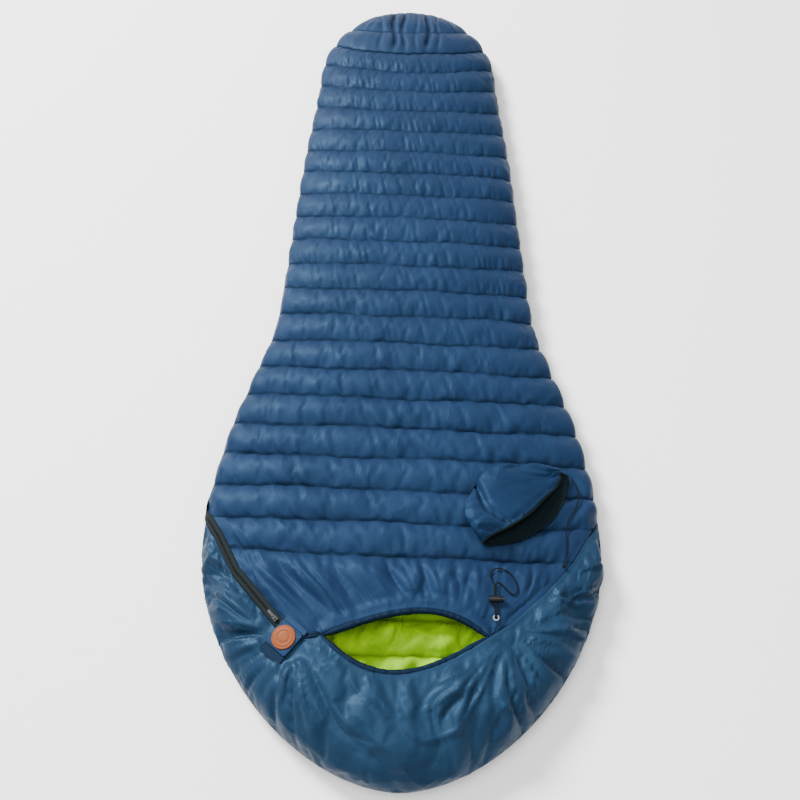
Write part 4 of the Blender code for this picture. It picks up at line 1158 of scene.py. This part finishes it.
def zip_facing():
    """The strip of shell fabric between the front panel's edge and its half of the zip, down the bag's side."""
    places, _, sides, out = zip_line(0.005)
    low = places[:, 1] > SIDE_CORNER_Y + 0.045
    places, sides, out = places[low], sides[low], out[low]
    y = places[:, 1]
    swollen = half_width(y) + scallop(-1, y, y - stray(-1.0, y))
    edge = np.stack([-swollen - 0.0004, y, np.full_like(y, SEAM_Z + 0.0008)], -1)
    start = places + sides * 0.0098 + out * 0.0014
    t = np.linspace(0.0, 1.0, 5)[:, None]
    top = start[:, None] + (edge - start)[:, None] * t + out[:, None] * 0.0014 * np.sin(math.pi * t)
    made = closed_panel("zip_facing_flap_side", top, top - out[:, None] * 0.0008, [SHELL, LINING])
    belongs(made, ACROSS_FOLD, "shell_fabric")


def zip_fastener():
    for side, part, body in ((1, "flap", ACROSS_FOLD), (-1, "bag", "bag")):
        tape, sewing = zip_tape(side, part)
        belongs(tape, body, "zip_tape", f"zip_tape_{part}")
        belongs(sewing, body, "zip_tape")
        belongs(zip_coil(side, part), body, "zip_coil", f"zip_teeth_{part}")


# ---- closure tab ----

BADGE_BASE = 0.0064
BADGE_PROFILE = ((0.0, 0.0), (0.0222, 0.0), (0.0230, 0.0006), (0.0230, 0.0017), (0.0225, 0.0024), (0.0214, 0.0028),
                 (0.0204, 0.0027), (0.0197, 0.0021), (0.0190, 0.0027), (0.0150, 0.0029), (0.0127, 0.0028),
                 (0.0119, 0.0022), (0.0111, 0.0028), (0.0060, 0.0030), (0.0, 0.0030))


def tab_frame():
    x, y = TAB_CENTRE
    step = 0.02
    slope_x = (top_z(x + step, y) - top_z(x - step, y)) / (2 * step)
    slope_y = (top_z(x, y + step) - top_z(x, y - step)) / (2 * step)
    up = Vector((-float(slope_x), -float(slope_y), 1.0)).normalized()
    along = Vector((math.cos(TAB_ANGLE), math.sin(TAB_ANGLE), 0.0))
    along = (along - up * along.dot(up)).normalized()
    made = Matrix((along, up.cross(along), up)).transposed().to_4x4()
    made.translation = skin(x, y)
    return made


def border_stitches(name, half_x, half_y, centre, height, matrix, inset=0.0032):
    outline = np.asarray(rounded_outline(half_x - inset, half_y - inset, 0.002, centre))
    outline = np.concatenate([outline, outline[:1]])
    places = [matrix @ Vector((px, py, height)) for px, py in outline]
    return stitches(name, places, [matrix.to_3x3().col[2]] * len(places), 0.0026, 0.0011, 0.00032, THREAD)


def closure_tab():
    matrix = tab_frame()
    half, patch_half = 0.026, 0.0195
    centre, patch_centre = (0.001, -0.0003), (0.001, -0.0255)
    patch = plate("loop_patch_felt", rounded_outline(half, patch_half, 0.004, patch_centre), 0.0002, 0.0018, 0.0005,
                  FELT, matrix)
    belongs(patch, "bag", "hook_and_loop", "loop_patch")
    sewn = border_stitches("loop_patch_stitching", half, patch_half, patch_centre, 0.0019, matrix, 0.0025)
    belongs(sewn, "bag", "hook_and_loop")
    tab = plate("closure_tab_cloth", rounded_outline(half, half, 0.005, centre), 0.0040, BADGE_BASE, 0.0007,
                SHELL, matrix)
    belongs(tab, "tab", "shell_fabric", "closure_tab")
    sewn = border_stitches("closure_tab_stitching", half, half, centre, 0.0065, matrix)
    belongs(sewn, "tab", "shell_fabric")
    turn = 2 * math.pi * np.arange(72) / 72
    rings = [np.stack([max(r, 0.0003) * np.cos(turn), max(r, 0.0003) * np.sin(turn), np.full(72, BADGE_BASE + z)], -1)
             for r, z in BADGE_PROFILE]
    badge = placed(ring_mesh("round_badge", rings, LEATHER), matrix)
    belongs(badge, "tab", "patch_leather", "badge")


# ---- stuff sack ----

def sack_point(along, inward, height):
    cosine, sine = math.cos(SACK_ANGLE), math.sin(SACK_ANGLE)
    x = SACK_MOUTH[0] + along * cosine - inward * sine
    y = SACK_MOUTH[1] + along * sine + inward * cosine
    return np.stack([x, y, top_z(x, y) + SACK_LIFT + height], -1)


def sack_rings(rows, around):
    """Rings of the sack from its slumped mouth to its closed end, with a bulge folded over at its left."""
    t, k = np.meshgrid(np.linspace(0.0, 1.0, rows), np.arange(around) / around, indexing="ij")
    angle = math.tau * k
    rise = np.sin(angle)
    share = np.cos(angle) * (1.0 - 0.10 * t) * np.sqrt(1.0 - np.minimum(t, 0.999) ** 3.5)
    ear = np.exp(-((share + 0.74) / 0.20) ** 2)
    depth = SACK_DEPTH * (0.86 - 0.10 * share - 0.42 * share ** 2 + 0.10 * ear)
    ripple = 0.0050 * noise(0.0 * k, k * 15.0, 63) * np.abs(rise) ** 0.5
    slump = (0.017 * rise - 0.030 * rise ** 2 + ripple) * (1.0 - t) ** 2
    loft = SACK_LOFT * (0.46 - 0.22 * share + 0.50 * t * (1.0 - t) + 0.30 * ear * ease(t / 0.3))
    loft = loft * np.sqrt(1.0 - np.minimum(t, 0.995) ** 4)
    tuck = np.exp(-((share + 0.40 + 0.12 * np.sin(4.0 * t)) / 0.055) ** 2) * ease((t - 0.02) / 0.12)
    bearing = np.arctan2(t * 0.8 + 0.05, 1.06 - share)
    swirl = folds(t * 2.0, bearing / 0.19 + 1.2 * np.sin(3.0 * t), 61)
    fine = folds(t * 5.0 + share * 2.0, share * 6.0 + t * 4.0 + 14.0, 62) * (0.4 + ear)
    upper = ease((rise + 0.1) / 0.4) * ease((t - 0.01) / 0.12)
    crumple = (0.0070 * swirl + 0.0045 * fine - 0.0150 * tuck) * upper
    height = np.maximum(loft * 0.5 * (1.0 + rise) + crumple, 0.0)
    return sack_point(SACK_HALF * share - 0.010 * ear * np.sin(math.pi * t), depth * t + slump, height + 0.0002)


def stuff_sack():
    rows, around = 34, 96
    outer = sack_rings(rows, around)
    pinned = np.zeros(outer.shape[:2], bool)
    pinned[0] = pinned[-1] = True
    pinned[:, around * 5 // 8:around * 7 // 8] = True
    outer = simulate(outer, pinned, extra=0.035, pressure=6.0, frames=12, cap=0.005, cyclic=True, bending=1.5)
    outer[..., 2] = np.maximum(outer[..., 2], top_z(outer[..., 0], outer[..., 1]) + SACK_LIFT - 0.001)
    shift = normals(outer)
    inner = outer - shift * 0.0010 * np.sign(np.sum(shift[:, around // 4] * np.array([0.0, 0.0, 1.0])))
    count = rows * around
    first = grid_faces(rows, around, cyclic=True)
    second = grid_faces(rows, around, cyclic=True, base=count)[:, ::-1]
    ring = np.arange(around)
    after = (ring + 1) % around
    mouth = np.stack([ring, count + ring, count + after, after], -1)
    ends = [list(range(count - around, count)), list(range(2 * count - around, 2 * count))[::-1]]
    faces = [list(f) for f in np.concatenate([first, second, mouth])] + ends
    points = np.concatenate([outer.reshape(-1, 3), inner.reshape(-1, 3)])
    made = new_object("stuff_sack_cloth", mesh_from("sack", points, faces))
    # the inner cloth and the mouth's rim take the near-black of painted shade
    slots = np.array([0] * len(first) + [1] * (len(second) + len(mouth)) + [0, 1])
    # the first row of outer cloth at the mouth takes the same near-black, which widens the dark band there
    slots[:around] = 1
    finished(made, [SACK, SACK_HEM_AND_INSIDE_SHADE], slots)
    belongs(made, "sack", "sack_fabric", "stuff_sack")
    # the hem takes the near-black of the painted shade inside the mouth
    hem = tube_mesh("sack_hem_tube", outer[0], 0.0023, SACK_HEM_AND_INSIDE_SHADE, closed=True, sides=10)
    belongs(hem, "sack", "sack_fabric", "sack_hem")


# ---- CAD pieces that stay ----

def repaint():
    finishes = {"zip_slider": METAL, "zip_pull": METAL, "zip_top_stop": BLACK, "zip_bottom_stop": BLACK,
                "hook_patch": FELT, "tab_anchor": SHELL, "cord_eyelet": STEEL, "cord_lock_body": BLACK,
                "cord_lock_plunger": BLACK, "sack_cord_knot": CORD}
    for node, material in finishes.items():
        slots = frame["nodes"][node].data.materials
        slots.clear()
        slots.append(material)


studio()
cords()
front_panel()
back_panel()
lining_floor()
footbox_panel()
hood_panel()
face_opening()
zip_fastener()
zip_facing()
closure_tab()
stuff_sack()
repaint()
